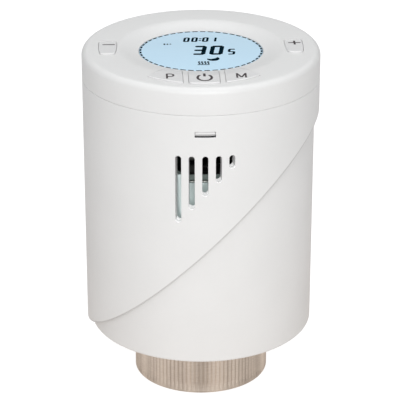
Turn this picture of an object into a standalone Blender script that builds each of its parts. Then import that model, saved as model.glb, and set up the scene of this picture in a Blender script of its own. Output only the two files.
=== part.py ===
"""Motorised actuator head for a radiator valve: a battery-driven round head on a union nut.

The origin is the centre of the union nut's lower face, +Z is up and the front is -Y. Azimuths are
counted from the front towards +X. A cover (cap, sleeve and display electronics) lifts off an inner
housing that holds the batteries, the motor, a three-stage gear train and the valve plunger.
"""

import math

import bmesh
import bpy
from mathutils import Matrix

MM = 0.001

# ---- Clearances ----
FIT_GAP = 0.3 * MM  # between two pieces that meet
SLIDE_GAP = 0.2 * MM  # between the sleeve and what it slides over
SEGMENTS = 48  # round a large ring
MIDDLE_SEGMENTS = 24  # round a hub or a cell
SMALL_SEGMENTS = 12  # round a pin or a screw

# ---- Housing and cover ----
BODY_RADIUS = 30.0 * MM
BODY_BOTTOM = 15.0 * MM
SEAM_HEIGHT = 82.0 * MM
CAP_HEIGHT = 7.3 * MM  # seam to the flat ring of the cap, on the axis
CAP_ROUND = 1.6 * MM
CAP_WALL = 1.8 * MM
CAP_ROOF = 1.6 * MM
CAP_THROAT = 1.5 * MM  # of the skirt's bore, kept above the cap's edge
CAP_INNER_CHAMFER = 0.7 * MM
CAP_LEAN = 0.02  # rise of the ring per length towards the back
RING_WIDTH = 9.0 * MM  # from the side wall inwards to the dish round the display
SLEEVE_WALL = 1.0 * MM
HOUSING_WALL = 1.6 * MM
HOUSING_FLOOR = 2.0 * MM
HOUSING_CHAMFER = 0.5 * MM
SKIRT_WALL = 1.2 * MM
SKIRT_DEPTH = 6.7 * MM
COVER_CUT_HEIGHT = 44.4 * MM  # where the sleeve's slanted edge crosses the axis
COVER_CUT_ANGLE = 44.0
COVER_CUT_AZIMUTH = 88.0  # of the edge's highest point

# ---- Openings in the wall ----
VENT_WIDTH = 1.5 * MM
VENT_DROP = 10.5 * MM  # seam to the tops of the slots
VENT_LONGEST = 17.5 * MM
VENT_STEP = 3.5 * MM  # each slot is this much shorter than the one on its left
VENT_SPREAD = 6.3  # degrees from slot to slot
VENT_COUNT = 5
HOOK_WIDTH = 5.1 * MM
HOOK_HEIGHT = 1.4 * MM
HOOK_DROP = 4.2 * MM  # seam to the top of the hook's window
HOOK_GAP = 0.25 * MM  # round the hook in its window
NOTCH_HALF_WIDTH = 16.75 * MM
NOTCH_BOTTOM = 24.0 * MM

# ---- Display and keys ----
LCD_RADIUS = 15.45 * MM
LCD_THICKNESS = 1.2 * MM
LCD_SINK = 1.13 * MM  # the display's top lies this far under the ring
LCD_LIP = 0.1 * MM  # the cap's rim stands this far over the display
LCD_LIP_DEPTH = 0.92 * MM
LCD_LIP_LAND = 0.85 * MM
LIGHT_GUIDE_THICKNESS = 1.1 * MM
REFLECTOR_THICKNESS = 1.0 * MM
FRAME_WALL = 0.8 * MM
FRAME_FLOOR = 0.8 * MM
KEY_LAND = 1.05 * MM  # cap left between the display and the front keys
KEY_BOW = 20.0 * MM  # radius of the front keys' outer edge
KEY_EDGE = 3.4 * MM  # side wall to the middle of that edge
KEY_STRIP_END = 33.0  # azimuth where the row of front keys ends
KEY_RIB = 1.3 * MM  # cap left between two front keys
POWER_KEY_HALF_WIDTH = 3.8 * MM
KEY_MIDDLE = 21.5  # azimuth of the switches under the program and mode keys
KEY_FLANGE = 1.1 * MM
KEY_FLANGE_LAP = 0.5 * MM
KEY_FLANGE_DROP = 2.7 * MM  # ring to the top of the keys' flanges
KEY_FLANGE_INSET = 2.0 * MM  # cap's land to the front keys' flanges
SIDE_KEY_WIDTH = 4.6 * MM
SIDE_KEY_TAPER = 0.62  # of its width, left at the front
SIDE_KEY_LENGTH = 10.0 * MM
SIDE_KEY_SHIFT = 0.5 * MM  # of its middle, towards the front
SIDE_KEY_INSET = 6.6 * MM  # side wall to the middle of the minus and plus keys

# ---- Electronics ----
BOARD_THICKNESS = 1.6 * MM
BOARD_DROP = 0.8 * MM  # seam to the board's underside
BOARD_EDGE_GAP = 0.8 * MM
BOARD_SCREW_AZIMUTHS = (60.0, -60.0, 180.0)
BOARD_SCREW_INSET = 6.7 * MM
BOSS_HOLE_END = 0.5 * MM
SWITCH_SIZE = 5.2 * MM
SWITCH_HEIGHT = 1.5 * MM
SWITCH_BUTTON_RADIUS = 1.5 * MM
SWITCH_BUTTON_HEIGHT = 0.2 * MM
POWER_BOARD_THICKNESS = 1.2 * MM
POWER_BOARD_BACK = 13.0 * MM
CHIP_AT = (6.0 * MM, 6.0 * MM)
CHIP_SIZE = (9.0 * MM, 9.0 * MM, 1.0 * MM)
RADIO_AT = (14.0 * MM, -5.0 * MM)
RADIO_SIZE = (10.0 * MM, 8.0 * MM, 1.6 * MM)
SENSOR_SIZE = (2.0 * MM, 3.0 * MM, 1.4 * MM)
SOCKET_HALF_WIDTH = 8.0 * MM
SOCKET_WALL = 0.9 * MM
SOCKET_HEIGHT = 3.8 * MM
SOCKET_DEPTH = 2.0 * MM
SOCKET_END_GAP = 1.0 * MM

# ---- Screws ----
SCREW_RADIUS = 0.9 * MM
SCREW_HEAD_RADIUS = 1.9 * MM
SCREW_HEAD_HEIGHT = 0.9 * MM

# ---- Union nut, collar and plunger ----
NUT_RADIUS = 17.5 * MM
NUT_RIBS = 96
NUT_RIB_DEPTH = 0.35 * MM
NUT_BORE = 14.2 * MM
NUT_LIP_HEIGHT = 3.95 * MM
COLLAR_BOTTOM = 8.2 * MM
COLLAR_FLANGE_RADIUS = 13.7 * MM
COLLAR_FLANGE_HEIGHT = 2.2 * MM
COLLAR_NECK_RADIUS = 12.0 * MM
COLLAR_SCREW_CIRCLE = 9.6 * MM
COLLAR_SCREW_AZIMUTHS = (30.0, 150.0, 270.0)
COLLAR_SCREW_LENGTH = 5.4 * MM
GUIDE_RADIUS = 6.0 * MM
GUIDE_FLANGE = 1.3 * MM
GUIDE_FLANGE_HEIGHT = 1.4 * MM
GUIDE_RISE = 0.2 * MM  # collar's lower face to the guide's
PLUNGER_RADIUS = 3.4 * MM
PLUNGER_TOP = 24.5 * MM
PLUNGER_LUG_LENGTH = 9.3 * MM
PLUNGER_LUG_WIDTH = 1.7 * MM
PLUNGER_LUG_HEIGHT = 5.0 * MM
PLUNGER_LUG_RISE = 1.0 * MM
TIP_RADIUS = 4.8 * MM
TIP_HEIGHT = 1.5 * MM
TIP_SPIGOT = 2.0 * MM

# ---- Gear train ----
MODULE = 0.5 * MM
ADDENDUM = 0.85  # of the module, short so that facetted flanks stay clear
DEDENDUM = 1.2
BACKLASH = 0.15 * MM
FLANK_ANGLE = 20.0
DRIVE_TEETH = 28
WHEEL_TEETH = 36
PINION_TEETH = 10
GEAR_2_AZIMUTH = 97.65  # of reduction gear 2 seen from the drive wheel
GEAR_1_AZIMUTH = 10.24  # of reduction gear 1 seen from reduction gear 2
MOTOR_AZIMUTH = 300.0  # of the motor seen from reduction gear 1
DRIVE_FACE = 4.0 * MM
WHEEL_FACE = 2.0 * MM
PINION_OVERHANG = 0.3 * MM
WHEEL_LIFT = 1.3 * MM  # floor to the drive wheel's teeth
GEAR_2_LIFT = 0.6 * MM  # bearing plate to reduction gear 2
WHEEL_SPACING = 1.2 * MM  # between the wheels of the two reduction gears
JOURNAL_RADIUS = 5.0 * MM
TOP_JOURNAL_RADIUS = 4.4 * MM
HUB_RADIUS = 5.6 * MM
HUB_LENGTH = 2.6 * MM
GEAR_SHAFT_RADIUS = 1.7 * MM
AXLE_RADIUS = 0.9 * MM
AXLE_SEAT_DEPTH = 1.2 * MM
WASHER_RADIUS = 6.5 * MM
WASHER_THICKNESS = 0.3 * MM
BEARING_PLATE_THICKNESS = 1.6 * MM
GEARBOX_PLATE_THICKNESS = 2.2 * MM
GEARBOX_ROOM = 9.2 * MM  # between the two plates
PLATE_EDGE_GAP = 2.2 * MM  # plates to the housing's inside
POST_RADIUS = 2.6 * MM
POST_NECK_RADIUS = 2.0 * MM
POST_PLACES = ((-4.5 * MM, -20.0 * MM), (21.5 * MM, 6.0 * MM), (0.0, 21.0 * MM))
PLATE_SCREW_LENGTH = 6.0 * MM

# ---- Motor ----
MOTOR_RADIUS = 9.6 * MM
MOTOR_HALF_FLATS = 7.7 * MM  # axis to the flats, which face the front and the back
MOTOR_LENGTH = 23.2 * MM
MOTOR_END_HEIGHT = 2.0 * MM
MOTOR_END_INSET = 0.3 * MM
MOTOR_SHAFT_RADIUS = 1.0 * MM
MOTOR_SHAFT_SEAT = 5.4 * MM
TERMINAL_SIZE = (2.0 * MM, 0.5 * MM, 2.8 * MM)
TERMINAL_SPREAD = 4.5 * MM
BRACKET_THICKNESS = 0.5 * MM
BRACKET_REACH = (-9.3 * MM, 8.0 * MM)  # left and right edges, from the motor's axis
BRACKET_EAR = 3.7 * MM
BRACKET_FOOT = 1.3 * MM
BRACKET_FOOT_HALF_WIDTH = 5.0 * MM

# ---- Batteries ----
CELL_RADIUS = 7.1 * MM
CELL_LENGTH = 50.5 * MM
CELL_NUB_RADIUS = 2.6 * MM
CELL_NUB_HEIGHT = 1.0 * MM
CELL_SPACING = 1.0 * MM
CELL_TRAY_GAP = 0.48 * MM
CELL_WALL_GAP = 1.3 * MM  # between a cell and the inside of the housing's wall
TRAY_WALL = 1.2 * MM
TRAY_PLATE = 1.5 * MM
TRAY_HALF_WIDTH = 15.5 * MM
TRAY_EDGE_GAP = 0.6 * MM
CONTACT_THICKNESS = 0.4 * MM
CONTACT_HALF_WIDTH = 3.0 * MM
SPRING_HEIGHT = 3.6 * MM
SPRING_RADIUS = 3.4 * MM
SPRING_WIRE = 0.35 * MM
SPRING_TAPER = 0.4
SPRING_TURNS = 3

# ---- Places that follow ----
SLEEVE_INSIDE = BODY_RADIUS - SLEEVE_WALL
HOUSING_RADIUS = SLEEVE_INSIDE - SLIDE_GAP
HOUSING_INSIDE = HOUSING_RADIUS - HOUSING_WALL
FLOOR_TOP = BODY_BOTTOM + HOUSING_FLOOR
SKIRT_BOTTOM = SEAM_HEIGHT - SKIRT_DEPTH
HOUSING_TOP = SKIRT_BOTTOM - FIT_GAP
SKIRT_INSIDE = HOUSING_RADIUS - SKIRT_WALL
SLEEVE_TOP = SEAM_HEIGHT - FIT_GAP / 3
CAP_EDGE = SLEEVE_TOP + FIT_GAP
RING_TOP = SEAM_HEIGHT + CAP_HEIGHT
RING_INNER = BODY_RADIUS - RING_WIDTH
LCD_OPENING = LCD_RADIUS + FIT_GAP
LCD_TOP = RING_TOP - LCD_SINK
LCD_BOTTOM = LCD_TOP - LCD_THICKNESS
ROOF_UNDERSIDE = RING_TOP - CAP_ROOF
DISPLAY_FRAME_TOP = LCD_BOTTOM - FIT_GAP
BOARD_BOTTOM = SEAM_HEIGHT - BOARD_DROP
BOARD_TOP = BOARD_BOTTOM + BOARD_THICKNESS
BOARD_RADIUS = SKIRT_INSIDE - BOARD_EDGE_GAP
KEY_INNER = LCD_OPENING + KEY_LAND
KEY_OUTER = BODY_RADIUS - KEY_EDGE
KEY_FLANGE_TOP = RING_TOP - KEY_FLANGE_DROP
KEY_BOTTOM = KEY_FLANGE_TOP - KEY_FLANGE
FRONT_KEY_CIRCLE = (KEY_INNER + KEY_OUTER) / 2
SIDE_KEY_X = BODY_RADIUS - SIDE_KEY_INSET
BOARD_SCREW_CIRCLE = BODY_RADIUS - BOARD_SCREW_INSET

NUT_TOP = BODY_BOTTOM - FIT_GAP
COLLAR_TOP = BODY_BOTTOM - FIT_GAP
COLLAR_FLANGE_TOP = COLLAR_BOTTOM + COLLAR_FLANGE_HEIGHT
GUIDE_BOTTOM = COLLAR_BOTTOM + GUIDE_RISE
TIP_TOP = GUIDE_BOTTOM - FIT_GAP
PLUNGER_LUG_BOTTOM = GUIDE_BOTTOM + PLUNGER_LUG_RISE

WHEEL_BOTTOM = FLOOR_TOP + WHEEL_LIFT
WHEEL_TOP = WHEEL_BOTTOM + DRIVE_FACE
HUB_TOP = WHEEL_TOP + HUB_LENGTH
WASHER_BOTTOM = HUB_TOP + FIT_GAP
BEARING_PLATE_BOTTOM = WASHER_BOTTOM + WASHER_THICKNESS + FIT_GAP
BEARING_PLATE_TOP = BEARING_PLATE_BOTTOM + BEARING_PLATE_THICKNESS
GEAR_2_WHEEL_BOTTOM = BEARING_PLATE_TOP + GEAR_2_LIFT
GEAR_1_WHEEL_BOTTOM = GEAR_2_WHEEL_BOTTOM + WHEEL_FACE + WHEEL_SPACING
GEARBOX_PLATE_BOTTOM = BEARING_PLATE_TOP + GEARBOX_ROOM
GEARBOX_PLATE_TOP = GEARBOX_PLATE_BOTTOM + GEARBOX_PLATE_THICKNESS
MOTOR_BOTTOM = GEARBOX_PLATE_TOP + FIT_GAP
MOTOR_TOP = MOTOR_BOTTOM + MOTOR_LENGTH

CELL_Y = CELL_RADIUS + CELL_SPACING / 2
CELL_X = -math.sqrt((HOUSING_INSIDE - CELL_WALL_GAP - CELL_RADIUS) ** 2 - CELL_Y**2)
TRAY_WALL_X = CELL_X + CELL_RADIUS + CELL_TRAY_GAP  # its outer side, towards the cells
TRAY_EDGE_X = TRAY_WALL_X + TRAY_WALL
PLATE_EDGE_X = TRAY_EDGE_X + FIT_GAP
TRAY_BOTTOM = FLOOR_TOP + FIT_GAP
CONTACT_BOTTOM = TRAY_BOTTOM + TRAY_PLATE + FIT_GAP
SPRING_BOTTOM = CONTACT_BOTTOM + CONTACT_THICKNESS + FIT_GAP
CELL_1_BOTTOM = SPRING_BOTTOM + SPRING_HEIGHT + FIT_GAP
TOP_CONTACT_BOTTOM = CELL_1_BOTTOM + CELL_LENGTH + FIT_GAP
TRAY_TOP_PLATE = TOP_CONTACT_BOTTOM + CONTACT_THICKNESS + FIT_GAP
POWER_BOARD_X = TRAY_EDGE_X + FIT_GAP
SOCKET_BOTTOM = BOARD_BOTTOM - FIT_GAP - SOCKET_HEIGHT
POWER_BOARD_TOP = SOCKET_BOTTOM + SOCKET_DEPTH - FIT_GAP


# ---- Building tools ----
def clear_scene():
    for obj in list(bpy.data.objects):
        bpy.data.objects.remove(obj, do_unlink=True)


clear_scene()
PARTS = bpy.data.collections.new("actuator_head")
HELPERS = bpy.data.collections.new("cutters")
bpy.context.scene.collection.children.link(PARTS)
bpy.context.scene.collection.children.link(HELPERS)


def finish_named(colour, roughness, metallic=0.0, name=""):
    """A material with one Principled BSDF."""
    finish = bpy.data.materials.new(name)
    finish.use_nodes = True
    shader = finish.node_tree.nodes["Principled BSDF"]
    shader.inputs["Base Color"].default_value = (*colour, 1.0)
    shader.inputs["Roughness"].default_value = roughness
    shader.inputs["Metallic"].default_value = metallic
    return finish


WHITE_ABS = finish_named((0.82, 0.83, 0.84), 0.38, name="white_abs")
SATIN_NICKEL = finish_named((0.55, 0.51, 0.46), 0.33, 1.0, name="satin_nickel")
NYLON = finish_named((0.87, 0.86, 0.80), 0.45, name="natural_nylon")
BLACK_PLASTIC = finish_named((0.03, 0.03, 0.03), 0.5, name="black_plastic")
STEEL = finish_named((0.60, 0.60, 0.58), 0.3, 1.0, name="bright_steel")
GLASS = finish_named((0.90, 0.93, 0.95), 0.1, name="clear_acrylic")
LCD_BLUE = finish_named((0.53, 0.73, 0.87), 0.3, name="lcd")
BOARD_GREEN = finish_named((0.03, 0.22, 0.11), 0.4, name="circuit_board")
CELL_JACKET = finish_named((0.10, 0.12, 0.16), 0.3, name="cell_jacket")


def as_part(obj, finish):
    """Marks a solid as a piece of the object and gives it its finish."""
    for collection in list(obj.users_collection):
        collection.objects.unlink(obj)
    PARTS.objects.link(obj)
    obj.hide_render = False
    obj.display_type = "TEXTURED"
    obj.data.materials.clear()
    obj.data.materials.append(finish)
    return obj


def helper(name, mesh, centre=(0.0, 0.0, 0.0)):
    """A new object that a Boolean uses. as_part turns one into a piece."""
    obj = bpy.data.objects.new(name, mesh)
    obj.location = centre
    obj.hide_render = True
    obj.display_type = "WIRE"
    HELPERS.objects.link(obj)
    return obj


def box(name, low, high):
    """A block between two corners."""
    mesh = bpy.data.meshes.new(name)
    size = [b - a for a, b in zip(low, high)]
    middle = [(a + b) / 2 for a, b in zip(low, high)]
    shape = bmesh.new()
    scaled = Matrix.Translation(middle) @ Matrix.Diagonal((*size, 1.0))
    bmesh.ops.create_cube(shape, size=1.0, matrix=scaled)
    shape.to_mesh(mesh)
    shape.free()
    return helper(name, mesh)


def cylinder(name, radius, bottom, top, at=(0.0, 0.0), segments=SMALL_SEGMENTS):
    """An upright cylinder whose origin is on its axis."""
    mesh = bpy.data.meshes.new(name)
    shape = bmesh.new()
    bmesh.ops.create_cone(
        shape,
        cap_ends=True,
        segments=segments,
        radius1=radius,
        radius2=radius,
        depth=top - bottom,
        matrix=Matrix.Translation((0.0, 0.0, (bottom + top) / 2)),
    )
    shape.to_mesh(mesh)
    shape.free()
    mesh.shade_smooth()
    mesh.set_sharp_from_angle(angle=math.radians(40))
    return helper(name, mesh, (at[0], at[1], 0.0))


def turned(name, profile, at=(0.0, 0.0), segments=SEGMENTS):
    """A turned solid. Its (radius, height) profile runs down the outer side, then back up the inner one."""
    mesh = bpy.data.meshes.new(name)
    points = [(radius, 0.0, height) for radius, height in profile]
    edges = [(i, i + 1) for i in range(len(points) - 1)]
    if profile[0][0] > 0.0:
        edges.append((len(points) - 1, 0))
    mesh.from_pydata(points, edges, [])
    obj = helper(name, mesh, (at[0], at[1], 0.0))
    screw = obj.modifiers.new("Turn", "SCREW")
    screw.axis = "Z"
    screw.steps = screw.render_steps = segments
    screw.use_merge_vertices = True
    screw.merge_threshold = 1e-6
    return obj


def baked(obj):
    """Puts the evaluated shape of an object into its own mesh, so that its points can be moved."""
    graph = bpy.context.evaluated_depsgraph_get()
    graph.update()
    mesh = bpy.data.meshes.new_from_object(obj.evaluated_get(graph))
    shape = bmesh.new()
    shape.from_mesh(mesh)
    bmesh.ops.remove_doubles(shape, verts=shape.verts, dist=1e-7)
    shape.to_mesh(mesh)
    shape.free()
    obj.modifiers.clear()
    obj.data = mesh
    return obj


def plate(name, outlines, bottom, top, at=(0.0, 0.0)):
    """A flat plate between two heights. The first outline is its edge, the others are holes in it."""
    curve = bpy.data.curves.new(name, "CURVE")
    curve.dimensions = "2D"
    curve.fill_mode = "BOTH"
    curve.extrude = (top - bottom) / 2
    for outline in outlines:
        spline = curve.splines.new("POLY")
        spline.points.add(len(outline) - 1)
        for point, (x, y) in zip(spline.points, outline):
            point.co = (x, y, 0.0, 1.0)
        spline.use_cyclic_u = True
    outline_object = helper(name + "_outline", curve)
    graph = bpy.context.evaluated_depsgraph_get()
    graph.update()
    mesh = bpy.data.meshes.new_from_object(outline_object.evaluated_get(graph))
    bpy.data.objects.remove(outline_object, do_unlink=True)
    shape = bmesh.new()
    shape.from_mesh(mesh)
    bmesh.ops.remove_doubles(shape, verts=shape.verts, dist=1e-7)
    bmesh.ops.translate(shape, verts=shape.verts, vec=(0.0, 0.0, (bottom + top) / 2))
    bmesh.ops.recalc_face_normals(shape, faces=shape.faces)
    shape.to_mesh(mesh)
    shape.free()
    return helper(name, mesh, (at[0], at[1], 0.0))


def combine(target, operation, others):
    for other in others:
        boolean = target.modifiers.new(other.name, "BOOLEAN")
        boolean.operation = operation
        boolean.object = other
    return target


def cut(target, *cutters):
    return combine(target, "DIFFERENCE", cutters)


def join(target, *pieces):
    return combine(target, "UNION", pieces)


# ---- Outlines ----
def place(azimuth, radius):
    """(x, y) at an azimuth in degrees, counted from the front towards +X."""
    angle = math.radians(azimuth)
    return radius * math.sin(angle), -radius * math.cos(angle)


def step_from(start, azimuth, distance):
    x, y = place(azimuth, distance)
    return start[0] + x, start[1] + y


def circle(radius, at=(0.0, 0.0), count=SMALL_SEGMENTS):
    turns = [2 * math.pi * i / count for i in range(count)]
    return [(at[0] + radius * math.cos(turn), at[1] + radius * math.sin(turn)) for turn in turns]


def rounded(corners, radius, count=3):
    """An outline with each corner, given anticlockwise, turned into an arc of the radius."""
    outline = []
    for i, corner in enumerate(corners):
        before, after = corners[i - 1], corners[(i + 1) % len(corners)]
        entry = math.atan2(corner[1] - before[1], corner[0] - before[0])
        leave = math.atan2(after[1] - corner[1], after[0] - corner[0])
        bend = (leave - entry) % (2 * math.pi)
        reach = radius / math.cos(bend / 2)
        middle = entry + bend / 2 + math.pi / 2
        centre = (corner[0] + reach * math.cos(middle), corner[1] + reach * math.sin(middle))
        for j in range(count + 1):
            angle = entry - math.pi / 2 + bend * j / count
            outline.append((centre[0] + radius * math.cos(angle), centre[1] + radius * math.sin(angle)))
    return outline


def slot_outline(width, length, count=6):
    """A round-ended slot that stands along y, centred on the origin."""
    half = length / 2 - width / 2
    upper = [math.pi * i / count for i in range(count + 1)]
    top = [(width / 2 * math.cos(a), half + width / 2 * math.sin(a)) for a in upper]
    return top + [(-x, -y) for x, y in top]


def gear_outline(teeth, phase):
    """Trapezium teeth about the pitch circle, with one tooth at the phase angle."""
    pitch_radius = MODULE * teeth / 2
    half_tooth = math.pi * MODULE / 4 - BACKLASH / 2
    outline = []
    for i in range(teeth):
        middle = phase + 2 * math.pi * i / teeth
        for side, reach in ((-1, -DEDENDUM), (-1, ADDENDUM), (1, ADDENDUM), (1, -DEDENDUM)):
            radius = pitch_radius + reach * MODULE
            half = (half_tooth - reach * MODULE * math.tan(math.radians(FLANK_ANGLE))) / radius
            angle = middle + side * half
            outline.append((radius * math.cos(angle), radius * math.sin(angle)))
    return outline


def bowed_radius(azimuth, grow):
    """Radius of the front keys' outer edge, an arc of KEY_BOW whose middle reaches KEY_OUTER."""
    centre = KEY_OUTER - KEY_BOW
    angle = math.radians(azimuth)
    return centre * math.cos(angle) + math.sqrt((KEY_BOW + grow) ** 2 - (centre * math.sin(angle)) ** 2)


def front_key_outline(side, inner, grow, count=6):
    """A front key in plan: the power key when side is 0, otherwise the one on that side of it.

    It lies between an inner circle and the bowed edge. The keys meet ribs that run to the front.
    """
    near = POWER_KEY_HALF_WIDTH + (KEY_RIB - grow if side else grow)
    bow_y = KEY_OUTER - KEY_BOW + math.sqrt((KEY_BOW + grow) ** 2 - near**2)
    far = KEY_STRIP_END + math.degrees(grow / inner)
    outline = []
    for outer, beside in ((True, math.atan2(near, bow_y)), (False, math.asin(near / inner))):
        first, last = math.degrees(beside), far
        if side == 0:
            first, last = -math.degrees(beside), math.degrees(beside)
        if side < 0:
            first, last = -last, -first
        for i in range(count + 1):
            azimuth = first + (last - first) * (i if outer else count - i) / count
            outline.append(place(azimuth, bowed_radius(azimuth, grow) if outer else inner))
    return outline


def side_key_outline(side, grow):
    """The minus or plus key: a shield, wide at the back and rounded at the front."""
    half_width = SIDE_KEY_WIDTH / 2 + grow
    half_length = SIDE_KEY_LENGTH / 2 + grow
    front = half_width * SIDE_KEY_TAPER
    plan = [
        (-front, -half_length),
        (front, -half_length),
        (half_width, 0.0),
        (half_width, half_length),
        (-half_width, half_length),
        (-half_width, 0.0),
    ]
    return rounded([(SIDE_KEY_X * side + x, y - SIDE_KEY_SHIFT) for x, y in plan], front / 2)


def round_edged(radius, edge_x, half_width, count=16):
    """The part of a disc beyond a straight edge at edge_x, towards -X, trimmed to a half width."""
    first = math.pi - math.asin(half_width / radius)
    arc = [first + 2 * (math.pi - first) * i / count for i in range(count + 1)]
    rim = [(radius * math.cos(a), radius * math.sin(a)) for a in arc]
    return rim + [(edge_x, -half_width), (edge_x, half_width)]


def chord_plate(radius, edge_x, count=28):
    """A disc without its part beyond a straight edge at edge_x, towards -X."""
    last = math.acos(edge_x / radius)
    arc = [last * (2 * i / count - 1) for i in range(count + 1)]
    return [(radius * math.cos(a), radius * math.sin(a)) for a in arc]


def screw(name, at, head_bottom, length, head_up=True):
    """A pan-head screw. Its shank points down when the head is up."""
    sign = 1 if head_up else -1
    head_end = head_bottom + sign * SCREW_HEAD_HEIGHT
    low, high = sorted((head_bottom, head_end))
    head = cylinder(name, SCREW_HEAD_RADIUS, low, high, at)
    shank_end = head_bottom + sign * SCREW_HEAD_HEIGHT / 2
    shank_low, shank_high = sorted((head_bottom - sign * length, shank_end))
    shank = cylinder(name + "_shank", SCREW_RADIUS, shank_low, shank_high, at)
    return as_part(join(head, shank), STEEL)


# ---- Housing, sleeve and cap ----
def vent_cutters(name):
    """Five slots through the front wall, each shorter than the one on its left."""
    cutters = []
    for i in range(VENT_COUNT):
        length = VENT_LONGEST - VENT_STEP * i
        azimuth = VENT_SPREAD * (i - (VENT_COUNT - 1) / 2)
        middle = SEAM_HEIGHT - VENT_DROP - length / 2
        reach = 4 * (SLEEVE_WALL + HOUSING_WALL)
        slot = plate(f"{name}_{i + 1}", [slot_outline(VENT_WIDTH, length)], -reach / 2, reach / 2)
        upright = Matrix.Rotation(math.radians(90), 4, "X")
        x, y = place(azimuth, HOUSING_RADIUS)
        slot.matrix_world = (
            Matrix.Translation((x, y, middle)) @ Matrix.Rotation(math.radians(azimuth), 4, "Z") @ upright
        )
        cutters.append(slot)
    return cutters


def inner_housing(vents):
    profile = [
        (HOUSING_RADIUS, HOUSING_TOP),
        (HOUSING_RADIUS, BODY_BOTTOM + HOUSING_CHAMFER),
        (HOUSING_RADIUS - HOUSING_CHAMFER, BODY_BOTTOM),
        (JOURNAL_RADIUS + FIT_GAP, BODY_BOTTOM),
        (JOURNAL_RADIUS + FIT_GAP, FLOOR_TOP),
        (HOUSING_INSIDE, FLOOR_TOP),
        (HOUSING_INSIDE, HOUSING_TOP),
    ]
    housing = turned("inner_housing", profile)
    for i, at in enumerate(POST_PLACES):
        shoulder = BEARING_PLATE_BOTTOM - FIT_GAP
        join(housing, cylinder(f"post_{i}", POST_RADIUS, FLOOR_TOP - HOUSING_FLOOR / 2, shoulder, at))
        neck_top = GEARBOX_PLATE_BOTTOM - FIT_GAP
        join(housing, cylinder(f"post_neck_{i}", POST_NECK_RADIUS, shoulder - MM, neck_top, at))
        hole_bottom = GEARBOX_PLATE_BOTTOM - PLATE_SCREW_LENGTH
        cut(housing, cylinder(f"post_hole_{i}", SCREW_RADIUS + FIT_GAP, hole_bottom, GEARBOX_PLATE_TOP, at))
    for i, azimuth in enumerate(COLLAR_SCREW_AZIMUTHS):
        at = place(azimuth, COLLAR_SCREW_CIRCLE)
        seat = FLOOR_TOP - SCREW_HEAD_HEIGHT - FIT_GAP
        cut(
            housing,
            cylinder(f"floor_hole_{i}", SCREW_RADIUS + FIT_GAP, BODY_BOTTOM - MM, FLOOR_TOP, at),
            cylinder(f"floor_seat_{i}", SCREW_HEAD_RADIUS + FIT_GAP, seat - FIT_GAP, FLOOR_TOP + MM, at),
        )
    seat_bottom = FLOOR_TOP - AXLE_SEAT_DEPTH
    axle_seat = cylinder("axle_seat", AXLE_RADIUS + FIT_GAP, seat_bottom, FLOOR_TOP + MM, GEAR_2_AT)
    notch_low = (-2 * BODY_RADIUS, -NOTCH_HALF_WIDTH, NOTCH_BOTTOM)
    notch = box("battery_notch", notch_low, (-BODY_RADIUS / 2, NOTCH_HALF_WIDTH, HOUSING_TOP + MM))
    return as_part(cut(housing, axle_seat, notch, *vents), WHITE_ABS)


def hook_height(margin):
    """Heights of the hook or, without a margin, of the window that it fits in."""
    top = SEAM_HEIGHT - HOOK_DROP
    return top - HOOK_HEIGHT + margin, top - margin


def outer_sleeve(vents):
    profile = [
        (BODY_RADIUS, SLEEVE_TOP),
        (BODY_RADIUS, BODY_BOTTOM),
        (SLEEVE_INSIDE, BODY_BOTTOM),
        (SLEEVE_INSIDE, SLEEVE_TOP),
    ]
    sleeve = turned("outer_sleeve", profile)
    span = 4 * BODY_RADIUS
    slanted = box("cover_edge_cut", (-span, -span, -span), (span, span, 0.0))
    tilt = Matrix.Rotation(-math.radians(COVER_CUT_ANGLE), 4, "Y")
    turn = Matrix.Rotation(math.radians(COVER_CUT_AZIMUTH - 90), 4, "Z")
    slanted.matrix_world = Matrix.Translation((0.0, 0.0, COVER_CUT_HEIGHT)) @ turn @ tilt
    low, high = hook_height(0.0)
    window = box(
        "hook_window", (-HOOK_WIDTH / 2, -BODY_RADIUS - MM, low), (HOOK_WIDTH / 2, -BODY_RADIUS / 2, high)
    )
    return as_part(cut(sleeve, slanted, window, *vents), WHITE_ABS)


def lean_share(radius, height):
    """How much of the cap's lean a point takes: none at the seam or the display, all of it on the ring."""
    up = min(max((height - CAP_EDGE) / (RING_TOP - CAP_EDGE), 0.0), 1.0)
    out = min(max((radius - LCD_OPENING) / (RING_INNER - LCD_OPENING), 0.0), 1.0)
    return up * out * out * (3 - 2 * out)


def lean_back(obj):
    """Tips the top of a piece of the cap up towards the back."""
    for vertex in obj.data.vertices:
        x, y, z = vertex.co
        vertex.co.z = z + CAP_LEAN * y * lean_share(math.hypot(x, y), z)
    return obj


def dish_height(radius):
    """Height of the cap's top face before it leans."""
    out = min(max((radius - LCD_OPENING) / (RING_INNER - LCD_OPENING), 0.0), 1.0)
    lip = LCD_TOP + LCD_LIP
    return lip + (RING_TOP - lip) * out


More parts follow.
